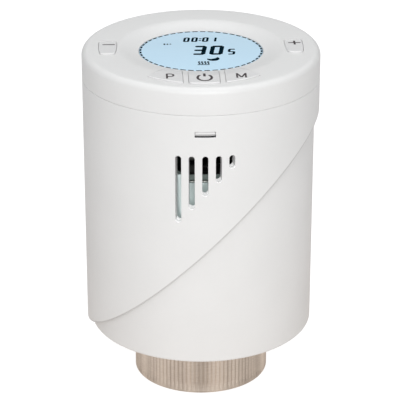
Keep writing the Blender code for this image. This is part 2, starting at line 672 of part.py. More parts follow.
def cap_profile():
    arc = [math.radians(90 * i / 3) for i in range(4)]
    rim = [
        (BODY_RADIUS - CAP_ROUND * (1 - math.sin(a)), RING_TOP - CAP_ROUND * (1 - math.cos(a))) for a in arc
    ]
    lip_bottom = LCD_TOP - LCD_LIP_DEPTH
    inner_wall = BODY_RADIUS - CAP_WALL
    step = inner_wall - SKIRT_INSIDE
    inside = [
        (BODY_RADIUS, CAP_EDGE),
        (HOUSING_RADIUS, CAP_EDGE),
        (HOUSING_RADIUS, SKIRT_BOTTOM),
        (SKIRT_INSIDE, SKIRT_BOTTOM),
        (SKIRT_INSIDE, CAP_EDGE + CAP_THROAT),
        (inner_wall, CAP_EDGE + CAP_THROAT + step),
        (inner_wall, ROOF_UNDERSIDE - CAP_INNER_CHAMFER),
        (inner_wall - CAP_INNER_CHAMFER, ROOF_UNDERSIDE),
        (RING_INNER, ROOF_UNDERSIDE),
        (LCD_OPENING + LCD_LIP_LAND, lip_bottom),
        (LCD_OPENING, lip_bottom),
    ]
    dish = [LCD_OPENING + (RING_INNER - LCD_OPENING) * i / 2 for i in range(3)]
    return rim + inside + [(radius, dish_height(radius)) for radius in dish]


def top_cap():
    cap = lean_back(baked(turned("top_cap", cap_profile())))
    low, high = hook_height(HOOK_GAP)
    half = HOOK_WIDTH / 2 - HOOK_GAP
    hook_back = -HOUSING_RADIUS + SKIRT_WALL / 2
    hook = box("hook", (-half, -BODY_RADIUS + HOOK_GAP, low), (half, hook_back, high))
    join(cap, hook)
    for i, azimuth in enumerate(BOARD_SCREW_AZIMUTHS):
        at = place(azimuth, BOARD_SCREW_CIRCLE)
        bottom = BOARD_TOP + FIT_GAP
        top = ROOF_UNDERSIDE + CAP_ROOF / 3
        hole_top = ROOF_UNDERSIDE - BOSS_HOLE_END
        join(cap, cylinder(f"boss_{i}", SCREW_RADIUS + CAP_ROOF, bottom, top, at))
        cut(cap, cylinder(f"boss_hole_{i}", SCREW_RADIUS + FIT_GAP, bottom - MM, hole_top, at))
    low, high = KEY_FLANGE_TOP - MM, RING_TOP + 3 * MM
    outlines = [front_key_outline(side, KEY_INNER, 0.0) for side in (-1, 0, 1)]
    outlines += [side_key_outline(side, 0.0) for side in (-1, 1)]
    openings = [plate(f"key_opening_{i}", [outline], low, high) for i, outline in enumerate(outlines)]
    return as_part(cut(cap, *openings), WHITE_ABS)


# ---- Keys ----
def key(name, face, flange, centre):
    """A key: a face flush with the cap over a wider flange that keeps it from falling out."""
    top = RING_TOP
    face_plate = plate(name, [face], KEY_FLANGE_TOP - KEY_FLANGE / 2, top)
    for vertex in face_plate.data.vertices:
        if vertex.co.z > KEY_FLANGE_TOP:
            radius = math.hypot(vertex.co.x, vertex.co.y)
            lean = CAP_LEAN * vertex.co.y * lean_share(radius, RING_TOP)
            vertex.co.z = dish_height(radius) + lean
    flange_plate = plate(name + "_flange", [flange], KEY_BOTTOM, KEY_FLANGE_TOP)
    for piece in (face_plate, flange_plate):
        piece.data.transform(Matrix.Translation((-centre[0], -centre[1], 0.0)))
        piece.location = (centre[0], centre[1], 0.0)
    return as_part(join(face_plate, flange_plate), WHITE_ABS)


def front_keys():
    for name, side in (("program_button", -1), ("power_button", 0), ("mode_button", 1)):
        face = front_key_outline(side, KEY_INNER + FIT_GAP, -FIT_GAP)
        flange = front_key_outline(side, KEY_INNER + KEY_FLANGE_INSET, KEY_FLANGE_LAP)
        key(name, face, flange, place(side * KEY_MIDDLE, FRONT_KEY_CIRCLE))


def side_keys():
    for name, side in (("minus_button", -1), ("plus_button", 1)):
        flange = side_key_outline(side, KEY_FLANGE_LAP)
        key(name, side_key_outline(side, -FIT_GAP), flange, (SIDE_KEY_X * side, -SIDE_KEY_SHIFT))


def switch_places():
    front = [place(side * KEY_MIDDLE, FRONT_KEY_CIRCLE) for side in (-1, 0, 1)]
    return front + [(SIDE_KEY_X * side, -SIDE_KEY_SHIFT) for side in (-1, 1)]


def key_switches():
    bottom = BOARD_TOP + FIT_GAP
    half = SWITCH_SIZE / 2
    for i, (x, y) in enumerate(switch_places()):
        name = f"key_switch_{i + 1}"
        body = box(name, (x - half, y - half, bottom), (x + half, y + half, bottom + SWITCH_HEIGHT))
        button_top = bottom + SWITCH_HEIGHT + SWITCH_BUTTON_HEIGHT
        button_bottom = bottom + SWITCH_HEIGHT / 2
        button = cylinder(name + "_button", SWITCH_BUTTON_RADIUS, button_bottom, button_top, (x, y))
        as_part(join(body, button), BLACK_PLASTIC)


# ---- Display and boards ----
def display_stack():
    """A round display flush in the cap, with its light guide and reflector in a frame on the board."""
    glass = [(0.0, LCD_TOP), (LCD_RADIUS, LCD_TOP), (LCD_RADIUS, LCD_BOTTOM), (0.0, LCD_BOTTOM)]
    as_part(turned("lcd_panel", glass), LCD_BLUE)
    inside = LCD_RADIUS - FIT_GAP
    frame_bottom = BOARD_TOP + FIT_GAP
    frame_profile = [
        (inside + FRAME_WALL, DISPLAY_FRAME_TOP),
        (inside + FRAME_WALL, frame_bottom),
        (inside / 2, frame_bottom),
        (inside / 2, frame_bottom + FRAME_FLOOR),
        (inside, frame_bottom + FRAME_FLOOR),
        (inside, DISPLAY_FRAME_TOP),
    ]
    as_part(turned("display_frame", frame_profile), WHITE_ABS)
    radius = inside - FIT_GAP
    bottom = frame_bottom + FRAME_FLOOR + FIT_GAP
    middle = bottom + REFLECTOR_THICKNESS
    as_part(cylinder("reflector_plate", radius, bottom, middle, segments=SEGMENTS), WHITE_ABS)
    top = middle + FIT_GAP + LIGHT_GUIDE_THICKNESS
    as_part(cylinder("light_guide", radius, middle + FIT_GAP, top, segments=SEGMENTS), GLASS)


def main_board():
    screws = [place(azimuth, BOARD_SCREW_CIRCLE) for azimuth in BOARD_SCREW_AZIMUTHS]
    holes = [circle(SCREW_RADIUS + FIT_GAP, at) for at in screws]
    outline = circle(BOARD_RADIUS, count=SEGMENTS)
    as_part(plate("main_board", [outline, *holes], BOARD_BOTTOM, BOARD_TOP), BOARD_GREEN)
    for i, at in enumerate(screws):
        length = ROOF_UNDERSIDE - 2 * BOSS_HOLE_END - BOARD_BOTTOM
        screw(f"board_screw_{i + 1}", at, BOARD_BOTTOM - FIT_GAP, length, head_up=False)


def under_board(name, at, size, finish):
    """A component on the underside of the main board."""
    top = BOARD_BOTTOM - FIT_GAP
    low = (at[0] - size[0] / 2, at[1] - size[1] / 2, top - size[2])
    high = (at[0] + size[0] / 2, at[1] + size[1] / 2, top)
    return as_part(box(name, low, high), finish)


def board_components():
    under_board("control_chip", CHIP_AT, CHIP_SIZE, BLACK_PLASTIC)
    under_board("radio_module", RADIO_AT, RADIO_SIZE, STEEL)
    under_board("room_sensor", (0.0, BOARD_SCREW_INSET - BODY_RADIUS), SENSOR_SIZE, BLACK_PLASTIC)
    middle = POWER_BOARD_X + POWER_BOARD_THICKNESS / 2
    half = POWER_BOARD_THICKNESS / 2 + FIT_GAP
    size = (2 * (half + SOCKET_WALL), 2 * SOCKET_HALF_WIDTH, SOCKET_HEIGHT)
    socket = under_board("edge_socket", (middle, 0.0), size, BLACK_PLASTIC)
    slot_low = (middle - half, -SOCKET_HALF_WIDTH - MM, SOCKET_BOTTOM - MM)
    slot_high = (middle + half, SOCKET_HALF_WIDTH + MM, SOCKET_BOTTOM + SOCKET_DEPTH)
    cut(socket, box("socket_slot", slot_low, slot_high))


def power_board():
    """An upright board behind the cells. Its front edge stops at the motor's can."""
    face_x = POWER_BOARD_X + POWER_BOARD_THICKNESS
    beside = min(MOTOR_AT[0] - face_x - FIT_GAP, MOTOR_RADIUS)
    front = MOTOR_AT[1] + math.sqrt(MOTOR_RADIUS**2 - beside**2) + FIT_GAP
    shoulder = SOCKET_BOTTOM - FIT_GAP
    low = (POWER_BOARD_X, front, GEARBOX_PLATE_TOP + FIT_GAP)
    board = box("power_board", low, (face_x, POWER_BOARD_BACK, shoulder))
    tongue_half = SOCKET_HALF_WIDTH - SOCKET_END_GAP
    tongue_low = (POWER_BOARD_X, -tongue_half, shoulder - SOCKET_DEPTH)
    tongue = box("tongue", tongue_low, (face_x, tongue_half, POWER_BOARD_TOP))
    as_part(join(board, tongue), BOARD_GREEN)


# ---- Batteries ----
def battery(name, side, bottom, nub_up):
    """An AA cell with its nub at one end."""
    top = bottom + CELL_LENGTH
    can_low = bottom if nub_up else bottom + CELL_NUB_HEIGHT
    can_high = top - CELL_NUB_HEIGHT if nub_up else top
    at = (CELL_X, CELL_Y * side)
    can = cylinder(name, CELL_RADIUS, can_low, can_high, at, segments=MIDDLE_SEGMENTS)
    nub_ends = (can_high - MM, top) if nub_up else (bottom, can_low + MM)
    nub = cylinder(name + "_nub", CELL_NUB_RADIUS, *nub_ends, at)
    return as_part(join(can, nub), CELL_JACKET)


def battery_spring(name, side, bottom):
    """A conical coil of round wire under or over a cell."""
    curve = bpy.data.curves.new(name, "CURVE")
    curve.dimensions = "3D"
    curve.bevel_depth = SPRING_WIRE
    curve.bevel_resolution = 2
    curve.use_fill_caps = True
    spline = curve.splines.new("POLY")
    count = 8 * SPRING_TURNS
    spline.points.add(count)
    rise = SPRING_HEIGHT - 2 * SPRING_WIRE
    for i, point in enumerate(spline.points):
        share = i / count
        turn = 2 * math.pi * SPRING_TURNS * share
        radius = SPRING_RADIUS * (1 - SPRING_TAPER * share)
        height = bottom + SPRING_WIRE + rise * share
        point.co = (radius * math.cos(turn), radius * math.sin(turn), height, 1.0)
    coil = bpy.data.objects.new(name, curve)
    coil.location = (CELL_X, CELL_Y * side, 0.0)
    HELPERS.objects.link(coil)
    return as_part(coil, STEEL)


def battery_contacts():
    reach = CELL_Y + CONTACT_HALF_WIDTH
    strips = {"battery_contact_bottom": CONTACT_BOTTOM, "battery_contact_top": TOP_CONTACT_BOTTOM}
    for name, bottom in strips.items():
        low = (CELL_X - CONTACT_HALF_WIDTH, -reach, bottom)
        high = (CELL_X + CONTACT_HALF_WIDTH, reach, bottom + CONTACT_THICKNESS)
        as_part(box(name, low, high), STEEL)


def battery_tray():
    radius = HOUSING_INSIDE - TRAY_EDGE_GAP
    outline = round_edged(radius, TRAY_EDGE_X, TRAY_HALF_WIDTH)
    tray = plate("battery_tray", [outline], TRAY_BOTTOM, TRAY_BOTTOM + TRAY_PLATE)
    top = plate("tray_top", [outline], TRAY_TOP_PLATE, TRAY_TOP_PLATE + TRAY_PLATE)
    wall_low = (TRAY_WALL_X, -TRAY_HALF_WIDTH, TRAY_BOTTOM + TRAY_PLATE / 2)
    wall = box("tray_wall", wall_low, (TRAY_EDGE_X, TRAY_HALF_WIDTH, TRAY_TOP_PLATE + TRAY_PLATE / 2))
    as_part(join(tray, wall, top), BLACK_PLASTIC)


def batteries():
    battery("battery_1", -1, CELL_1_BOTTOM, nub_up=True)
    battery("battery_2", 1, SPRING_BOTTOM, nub_up=False)
    battery_spring("battery_spring_1", -1, SPRING_BOTTOM)
    battery_spring("battery_spring_2", 1, SPRING_BOTTOM + CELL_LENGTH + FIT_GAP)
    battery_contacts()
    battery_tray()


# ---- Union nut, collar and plunger ----
def union_nut():
    """The knurled nut. Its bore stands for the thread, and its lip hangs on the collar's flange."""
    outline = []
    for i in range(2 * NUT_RIBS):
        radius = NUT_RADIUS - NUT_RIB_DEPTH * (i % 2)
        angle = math.pi * i / NUT_RIBS
        outline.append((radius * math.cos(angle), radius * math.sin(angle)))
    nut = plate("union_nut", [outline], 0.0, NUT_TOP)
    lip = COLLAR_NECK_RADIUS + FIT_GAP
    bore_profile = [
        (0.0, NUT_TOP + MM),
        (lip, NUT_TOP + MM),
        (lip, NUT_TOP - NUT_LIP_HEIGHT),
        (NUT_BORE, NUT_TOP - NUT_LIP_HEIGHT),
        (NUT_BORE, -MM),
        (0.0, -MM),
    ]
    return as_part(cut(nut, turned("nut_bore", bore_profile)), SATIN_NICKEL)


def valve_collar():
    guide_hole = GUIDE_RADIUS + FIT_GAP
    seat_radius = guide_hole + GUIDE_FLANGE
    seat = COLLAR_TOP - GUIDE_FLANGE_HEIGHT - FIT_GAP
    profile = [
        (COLLAR_NECK_RADIUS, COLLAR_TOP),
        (COLLAR_NECK_RADIUS, COLLAR_FLANGE_TOP),
        (COLLAR_FLANGE_RADIUS, COLLAR_FLANGE_TOP),
        (COLLAR_FLANGE_RADIUS, COLLAR_BOTTOM),
        (guide_hole, COLLAR_BOTTOM),
        (guide_hole, seat),
        (seat_radius, seat),
        (seat_radius, COLLAR_TOP),
    ]
    collar = turned("valve_collar", profile)
    head_bottom = FLOOR_TOP - SCREW_HEAD_HEIGHT - FIT_GAP / 3
    for i, azimuth in enumerate(COLLAR_SCREW_AZIMUTHS):
        at = place(azimuth, COLLAR_SCREW_CIRCLE)
        hole_bottom = head_bottom - COLLAR_SCREW_LENGTH - FIT_GAP
        cut(collar, cylinder(f"collar_hole_{i}", SCREW_RADIUS + FIT_GAP, hole_bottom, COLLAR_TOP + MM, at))
        screw(f"collar_screw_{i + 1}", at, head_bottom, COLLAR_SCREW_LENGTH)
    return as_part(collar, NYLON)


def plunger_guide():
    """The guide whose slot stops the plunger from turning."""
    bore = PLUNGER_RADIUS + FIT_GAP
    profile = [
        (GUIDE_RADIUS + GUIDE_FLANGE, COLLAR_TOP),
        (GUIDE_RADIUS + GUIDE_FLANGE, COLLAR_TOP - GUIDE_FLANGE_HEIGHT),
        (GUIDE_RADIUS, COLLAR_TOP - GUIDE_FLANGE_HEIGHT),
        (GUIDE_RADIUS, GUIDE_BOTTOM),
        (bore, GUIDE_BOTTOM),
        (bore, COLLAR_TOP),
    ]
    guide = turned("plunger_guide", profile, segments=MIDDLE_SEGMENTS)
    half_length = PLUNGER_LUG_LENGTH / 2 + FIT_GAP
    half_width = PLUNGER_LUG_WIDTH / 2 + FIT_GAP
    slot = box(
        "guide_slot",
        (-half_length, -half_width, GUIDE_BOTTOM - MM),
        (half_length, half_width, COLLAR_TOP + MM),
    )
    return as_part(cut(guide, slot), NYLON)


def plunger():
    screw_body = cylinder(
        "plunger_screw", PLUNGER_RADIUS, GUIDE_BOTTOM, PLUNGER_TOP, segments=MIDDLE_SEGMENTS
    )
    lugs = box(
        "plunger_lugs",
        (-PLUNGER_LUG_LENGTH / 2, -PLUNGER_LUG_WIDTH / 2, PLUNGER_LUG_BOTTOM),
        (PLUNGER_LUG_LENGTH / 2, PLUNGER_LUG_WIDTH / 2, PLUNGER_LUG_BOTTOM + PLUNGER_LUG_HEIGHT),
    )
    spigot_bottom = TIP_TOP - TIP_HEIGHT / 2
    spigot = cylinder("plunger_spigot", TIP_SPIGOT, spigot_bottom, GUIDE_BOTTOM + MM)
    as_part(join(screw_body, lugs, spigot), NYLON)
    tip = cylinder("plunger_tip", TIP_RADIUS, TIP_TOP - TIP_HEIGHT, TIP_TOP, segments=MIDDLE_SEGMENTS)
    seat = cylinder("tip_seat", TIP_SPIGOT + FIT_GAP, spigot_bottom - FIT_GAP, TIP_TOP + MM)
    as_part(cut(tip, seat), STEEL)


# ---- Gear train and motor ----
def mesh_distance(teeth, other_teeth):
    return MODULE * (teeth + other_teeth) / 2


GEAR_2_AT = place(GEAR_2_AZIMUTH, mesh_distance(DRIVE_TEETH, PINION_TEETH))
GEAR_1_AT = step_from(GEAR_2_AT, GEAR_1_AZIMUTH, mesh_distance(WHEEL_TEETH, PINION_TEETH))
MOTOR_AT = step_from(GEAR_1_AT, MOTOR_AZIMUTH, mesh_distance(WHEEL_TEETH, PINION_TEETH))


def facing(azimuth):
    """Angle about +Z, counted from +X, of an azimuth."""
    return math.radians(azimuth - 90)


def meshed_phase(azimuth):
    """Phase of a pinion whose gap takes the tooth that comes from the azimuth's far side."""
    return facing(azimuth) + math.pi + math.pi / PINION_TEETH


def drive_wheel():
    bore = PLUNGER_RADIUS + FIT_GAP
    outlines = [gear_outline(DRIVE_TEETH, facing(GEAR_2_AZIMUTH)), circle(bore, count=MIDDLE_SEGMENTS)]
    teeth = plate("drive_wheel", outlines, WHEEL_BOTTOM, WHEEL_TOP)
    hub_profile = [
        (TOP_JOURNAL_RADIUS, BEARING_PLATE_TOP - FIT_GAP),
        (TOP_JOURNAL_RADIUS, HUB_TOP),
        (HUB_RADIUS, HUB_TOP),
        (HUB_RADIUS, FLOOR_TOP + FIT_GAP),
        (JOURNAL_RADIUS, FLOOR_TOP + FIT_GAP),
        (JOURNAL_RADIUS, BODY_BOTTOM + FIT_GAP / 3),
        (bore, BODY_BOTTOM + FIT_GAP / 3),
        (bore, BEARING_PLATE_TOP - FIT_GAP),
    ]
    return as_part(join(teeth, turned("drive_hub", hub_profile, segments=MIDDLE_SEGMENTS)), NYLON)


def reduction_gear(name, at, pinion, wheel, bottom, top, pinion_phase, wheel_phase):
    """A small pinion and a large wheel on one tube that turns on a fixed axle."""
    tube = cylinder(name, GEAR_SHAFT_RADIUS, bottom, top, at)
    small = plate(name + "_pinion", [gear_outline(PINION_TEETH, pinion_phase)], *pinion, at)
    large = plate(name + "_wheel", [gear_outline(WHEEL_TEETH, wheel_phase)], *wheel, at)
    hole = cylinder(name + "_hole", AXLE_RADIUS + FIT_GAP / 2, bottom - MM, top + MM, at)
    return as_part(cut(join(tube, small, large), hole), NYLON)


def gear_train():
    drive_wheel()
    tube_top = GEARBOX_PLATE_BOTTOM - FIT_GAP
    reduction_gear(
        "reduction_gear_2",
        GEAR_2_AT,
        (WHEEL_BOTTOM - PINION_OVERHANG, WHEEL_TOP + PINION_OVERHANG),
        (GEAR_2_WHEEL_BOTTOM, GEAR_2_WHEEL_BOTTOM + WHEEL_FACE),
        FLOOR_TOP + FIT_GAP,
        tube_top,
        meshed_phase(GEAR_2_AZIMUTH),
        facing(GEAR_1_AZIMUTH),
    )
    reduction_gear(
        "reduction_gear_1",
        GEAR_1_AT,
        (BEARING_PLATE_TOP + FIT_GAP, GEAR_2_WHEEL_BOTTOM + WHEEL_FACE + PINION_OVERHANG),
        (GEAR_1_WHEEL_BOTTOM, GEAR_1_WHEEL_BOTTOM + WHEEL_FACE),
        BEARING_PLATE_TOP + FIT_GAP,
        tube_top,
        meshed_phase(GEAR_1_AZIMUTH),
        facing(MOTOR_AZIMUTH),
    )
    axle_top = GEARBOX_PLATE_TOP - FIT_GAP
    axle_2_bottom = FLOOR_TOP - AXLE_SEAT_DEPTH + FIT_GAP
    axle_1_bottom = BEARING_PLATE_BOTTOM + FIT_GAP
    as_part(cylinder("gear_axle_2", AXLE_RADIUS, axle_2_bottom, axle_top, GEAR_2_AT), STEEL)
    as_part(cylinder("gear_axle_1", AXLE_RADIUS, axle_1_bottom, axle_top, GEAR_1_AT), STEEL)
    washer_profile = [
        (WASHER_RADIUS, WASHER_BOTTOM + WASHER_THICKNESS),
        (WASHER_RADIUS, WASHER_BOTTOM),
        (TOP_JOURNAL_RADIUS + FIT_GAP, WASHER_BOTTOM),
        (TOP_JOURNAL_RADIUS + FIT_GAP, WASHER_BOTTOM + WASHER_THICKNESS),
    ]
    as_part(turned("thrust_washer", washer_profile, segments=MIDDLE_SEGMENTS), STEEL)


def gear_plates():
    radius = HOUSING_INSIDE - PLATE_EDGE_GAP
    axle_hole = AXLE_RADIUS + FIT_GAP
    post_holes = [circle(POST_NECK_RADIUS + FIT_GAP, at) for at in POST_PLACES]
    bearing_holes = [
        circle(TOP_JOURNAL_RADIUS + FIT_GAP, count=MIDDLE_SEGMENTS),
        circle(GEAR_SHAFT_RADIUS + FIT_GAP, GEAR_2_AT),
        circle(axle_hole, GEAR_1_AT),
        *post_holes,
    ]
    outline = chord_plate(radius, PLATE_EDGE_X)
    bearing = plate("bearing_plate", [outline, *bearing_holes], BEARING_PLATE_BOTTOM, BEARING_PLATE_TOP)
    as_part(bearing, NYLON)
    gearbox_holes = [circle(axle_hole, GEAR_2_AT), circle(axle_hole, GEAR_1_AT)]
    gearbox_holes += [circle(2 * MOTOR_SHAFT_RADIUS, MOTOR_AT)]
    gearbox_holes += [circle(SCREW_RADIUS + FIT_GAP, at) for at in POST_PLACES]
    gearbox = plate("gearbox_plate", [outline, *gearbox_holes], GEARBOX_PLATE_BOTTOM, GEARBOX_PLATE_TOP)
    head_bottom = GEARBOX_PLATE_TOP - SCREW_HEAD_HEIGHT - FIT_GAP / 3
    for i, at in enumerate(POST_PLACES):
        seat = (head_bottom - FIT_GAP, GEARBOX_PLATE_TOP + MM)
        cut(gearbox, cylinder(f"plate_seat_{i}", SCREW_HEAD_RADIUS + FIT_GAP, *seat, at))
        screw(f"plate_screw_{i + 1}", at, head_bottom, PLATE_SCREW_LENGTH)
    as_part(gearbox, NYLON)


def can_outline(radius, half_flats, count=12):
    """A circle cut by two flats that face the front and the back."""
    last = math.asin(half_flats / radius)
    arc = [last * (2 * i / count - 1) for i in range(count + 1)]
    right = [(radius * math.cos(a), radius * math.sin(a)) for a in arc]
    return right + [(-x, -y) for x, y in right]


def motor_bracket(ear_top):
    """A folded sheet in front of the can: a foot on the gearbox plate, a wall, and an ear beside the end cap."""
    back = MOTOR_AT[1] - MOTOR_HALF_FLATS - FIT_GAP
    front = back - BRACKET_THICKNESS
    left, right = (MOTOR_AT[0] + reach for reach in BRACKET_REACH)
    wall = box("motor_bracket", (left, front, MOTOR_BOTTOM), (right, back, MOTOR_TOP))
    ear = box("ear", (left, front, MOTOR_TOP - MM), (left + BRACKET_EAR, back, ear_top))
    foot_low = (MOTOR_AT[0] - BRACKET_FOOT_HALF_WIDTH, front - BRACKET_FOOT, MOTOR_BOTTOM)
    foot_high = (MOTOR_AT[0] + BRACKET_FOOT_HALF_WIDTH, back, MOTOR_BOTTOM + BRACKET_THICKNESS)
    as_part(join(join(wall, ear), box("foot", foot_low, foot_high)), STEEL)


def motor():
    outline = can_outline(MOTOR_RADIUS, MOTOR_HALF_FLATS)
    can = plate("motor_can", [outline], MOTOR_BOTTOM, MOTOR_TOP, MOTOR_AT)
    seat_top = MOTOR_BOTTOM + MOTOR_SHAFT_SEAT + FIT_GAP
    shaft_seat = cylinder("shaft_seat", MOTOR_SHAFT_RADIUS + FIT_GAP, MOTOR_BOTTOM - MM, seat_top, MOTOR_AT)
    as_part(cut(can, shaft_seat), STEEL)
    inset = (MOTOR_RADIUS - MOTOR_END_INSET, MOTOR_HALF_FLATS - MOTOR_END_INSET)
    end_bottom = MOTOR_TOP + FIT_GAP
    end_top = end_bottom + MOTOR_END_HEIGHT
    as_part(plate("motor_end_cap", [can_outline(*inset)], end_bottom, end_top, MOTOR_AT), BLACK_PLASTIC)
    for i, side in enumerate((-1, 1)):
        x = MOTOR_AT[0] + side * TERMINAL_SPREAD
        low = (x - TERMINAL_SIZE[0] / 2, MOTOR_AT[1] - TERMINAL_SIZE[1] / 2, end_top + FIT_GAP)
        high = (x + TERMINAL_SIZE[0] / 2, MOTOR_AT[1] + TERMINAL_SIZE[1] / 2, low[2] + TERMINAL_SIZE[2])
        as_part(box(f"motor_terminal_{i + 1}", low, high), STEEL)
    motor_bracket(end_top)
    pinion_low = GEAR_1_WHEEL_BOTTOM - PINION_OVERHANG
    pinion_high = GEAR_1_WHEEL_BOTTOM + WHEEL_FACE + PINION_OVERHANG
    shaft_hole = circle(MOTOR_SHAFT_RADIUS + FIT_GAP / 2)
    outlines = [gear_outline(PINION_TEETH, meshed_phase(MOTOR_AZIMUTH)), shaft_hole]
    as_part(plate("motor_pinion", outlines, pinion_low, pinion_high, MOTOR_AT), NYLON)
    shaft_top = MOTOR_BOTTOM + MOTOR_SHAFT_SEAT
    as_part(cylinder("motor_shaft", MOTOR_SHAFT_RADIUS, pinion_low - MM, shaft_top, MOTOR_AT), STEEL)


def build():
    vents = vent_cutters("vent")
    inner_housing(vents)
    outer_sleeve(vents)
    top_cap()
    front_keys()
    side_keys()
    key_switches()
    display_stack()
    main_board()
    board_components()
    power_board()
    batteries()
    union_nut()
    valve_collar()
    plunger_guide()
    plunger()
    gear_train()
    gear_plates()
    motor()


build()
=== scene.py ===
"""Looks of the motorised actuator head: fine surfaces, their finishes, the stage and the lights.

Lengths are in metres. The origin is the centre of the union nut's lower face, +Z is up, -Y is the front and
azimuths are counted from the front towards +X.
"""

import math

import bmesh
import bpy
import numpy as np
from mathutils import Matrix, Vector


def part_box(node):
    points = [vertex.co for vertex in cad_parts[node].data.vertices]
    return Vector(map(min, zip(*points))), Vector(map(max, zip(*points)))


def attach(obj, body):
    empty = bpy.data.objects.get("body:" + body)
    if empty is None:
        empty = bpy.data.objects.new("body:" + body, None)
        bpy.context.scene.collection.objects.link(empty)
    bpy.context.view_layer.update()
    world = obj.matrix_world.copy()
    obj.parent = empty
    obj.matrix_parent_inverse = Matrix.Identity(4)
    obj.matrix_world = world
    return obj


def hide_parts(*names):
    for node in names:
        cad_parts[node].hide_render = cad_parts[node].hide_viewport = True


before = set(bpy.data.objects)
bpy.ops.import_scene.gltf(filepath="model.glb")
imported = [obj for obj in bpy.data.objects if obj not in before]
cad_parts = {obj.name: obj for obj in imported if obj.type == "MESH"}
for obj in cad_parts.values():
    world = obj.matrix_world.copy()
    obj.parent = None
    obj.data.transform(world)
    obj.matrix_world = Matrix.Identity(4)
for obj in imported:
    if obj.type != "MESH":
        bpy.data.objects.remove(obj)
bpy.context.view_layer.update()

MM = 0.001
TURN = 2 * math.pi
AROUND = 256  # steps round a large ring
PIN_AROUND = 45  # steps round a pin
PINHOLE = 0.002 * MM  # corners closer than this are merged where a cut has left a hole
PINHOLE_SIDES = 8  # the most sides of a hole that is filled

# ---- Places read from the frame ----
SLEEVE_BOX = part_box("outer_sleeve")
HOUSING_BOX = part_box("inner_housing")
CAP_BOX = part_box("top_cap")
NUT_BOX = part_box("union_nut")
LCD_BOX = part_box("lcd_panel")
BODY_RADIUS = SLEEVE_BOX[1].x
SLEEVE_TOP = SLEEVE_BOX[1].z
SLEEVE_WALL = 1.0 * MM
SLEEVE_INSIDE = BODY_RADIUS - SLEEVE_WALL
HOUSING_RADIUS = HOUSING_BOX[1].x
HOUSING_BOTTOM = HOUSING_BOX[0].z
HOUSING_TOP = HOUSING_BOX[1].z
HOUSING_WALL = 1.6 * MM
HOUSING_INSIDE = HOUSING_RADIUS - HOUSING_WALL
FLOOR_TOP = HOUSING_BOTTOM + 2.0 * MM
CAP_EDGE = SLEEVE_TOP + 0.05 * MM
SKIRT_BOTTOM = CAP_BOX[0].z
SKIRT_INSIDE = HOUSING_RADIUS - 1.2 * MM
RING_TOP = SLEEVE_TOP + 7.4 * MM
RING_INNER = BODY_RADIUS - 9.0 * MM
LCD_RADIUS = LCD_BOX[1].x
LCD_TOP = LCD_BOX[1].z
LCD_BOTTOM = LCD_BOX[0].z
LCD_OPENING = LCD_RADIUS + 0.2 * MM
CAP_LEAN = 0.02
CAP_ROUND = 1.7 * MM
CAP_ROOF = 1.6 * MM
CAP_WALL = 1.8 * MM
BOARD_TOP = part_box("main_board")[1].z
FLAT = 0.02 * MM  # thickness of a printed mark
SCREW_HOLE = 1.2 * MM
CUT_ROUND = 0.1 * MM  # rounding of the edges that openings leave


def node_middle(node):
    """(x, y) of the middle of a CAD node's box."""
    low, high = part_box(node)
    return (low.x + high.x) / 2, (low.y + high.y) / 2


# ---- Mesh tools ----
def grid_faces(rows, columns, wrap_rows=False, wrap_columns=True):
    """Quads of a grid of points, stored row by row, that may close on itself either way."""
    row = np.arange(rows if wrap_rows else rows - 1)
    column = np.arange(columns if wrap_columns else columns - 1)
    r, c = np.meshgrid(row, column, indexing="ij")
    r2, c2 = (r + 1) % rows, (c + 1) % columns
    corners = (r * columns + c, r2 * columns + c, r2 * columns + c2, r * columns + c2)
    return np.stack([corner.ravel() for corner in corners], axis=1)


def linked(name, data):
    """A new object for a mesh, a lamp or a camera, at the origin."""
    obj = bpy.data.objects.new(name, data)
    bpy.context.scene.collection.objects.link(obj)
    return obj


def new_object(name, points, faces):
    """An object from arrays of points and of faces with equally many corners. Double points are merged."""
    mesh = bpy.data.meshes.new(name)
    points = np.asarray(points, float).reshape(-1, 3)
    faces = np.asarray(faces, int)
    mesh.vertices.add(len(points))
    mesh.vertices.foreach_set("co", points.ravel())
    mesh.loops.add(faces.size)
    mesh.loops.foreach_set("vertex_index", faces.ravel())
    mesh.polygons.add(len(faces))
    mesh.polygons.foreach_set("loop_start", np.arange(0, faces.size, faces.shape[1]))
    mesh.update(calc_edges=True)
    mesh.validate()
    merge_doubles(mesh)
    return linked(name, mesh)


def merge_doubles(mesh, distance=1e-7):
    """Merges points that coincide and drops the faces that this leaves without an area."""
    shape = bmesh.new()
    shape.from_mesh(mesh)
    bmesh.ops.remove_doubles(shape, verts=shape.verts, dist=distance)
    bmesh.ops.dissolve_degenerate(shape, edges=shape.edges, dist=distance)
    shape.to_mesh(mesh)
    shape.free()


def merged_object(name, parts):
    """One object of several (points, faces) parts whose faces all have four corners."""
    points, faces, start = [], [], 0
    for part_points, part_faces in parts:
        part_points = np.asarray(part_points, float).reshape(-1, 3)
        points.append(part_points)
        faces.append(np.asarray(part_faces) + start)
        start += len(part_points)
    return new_object(name, np.concatenate(points), np.concatenate(faces))


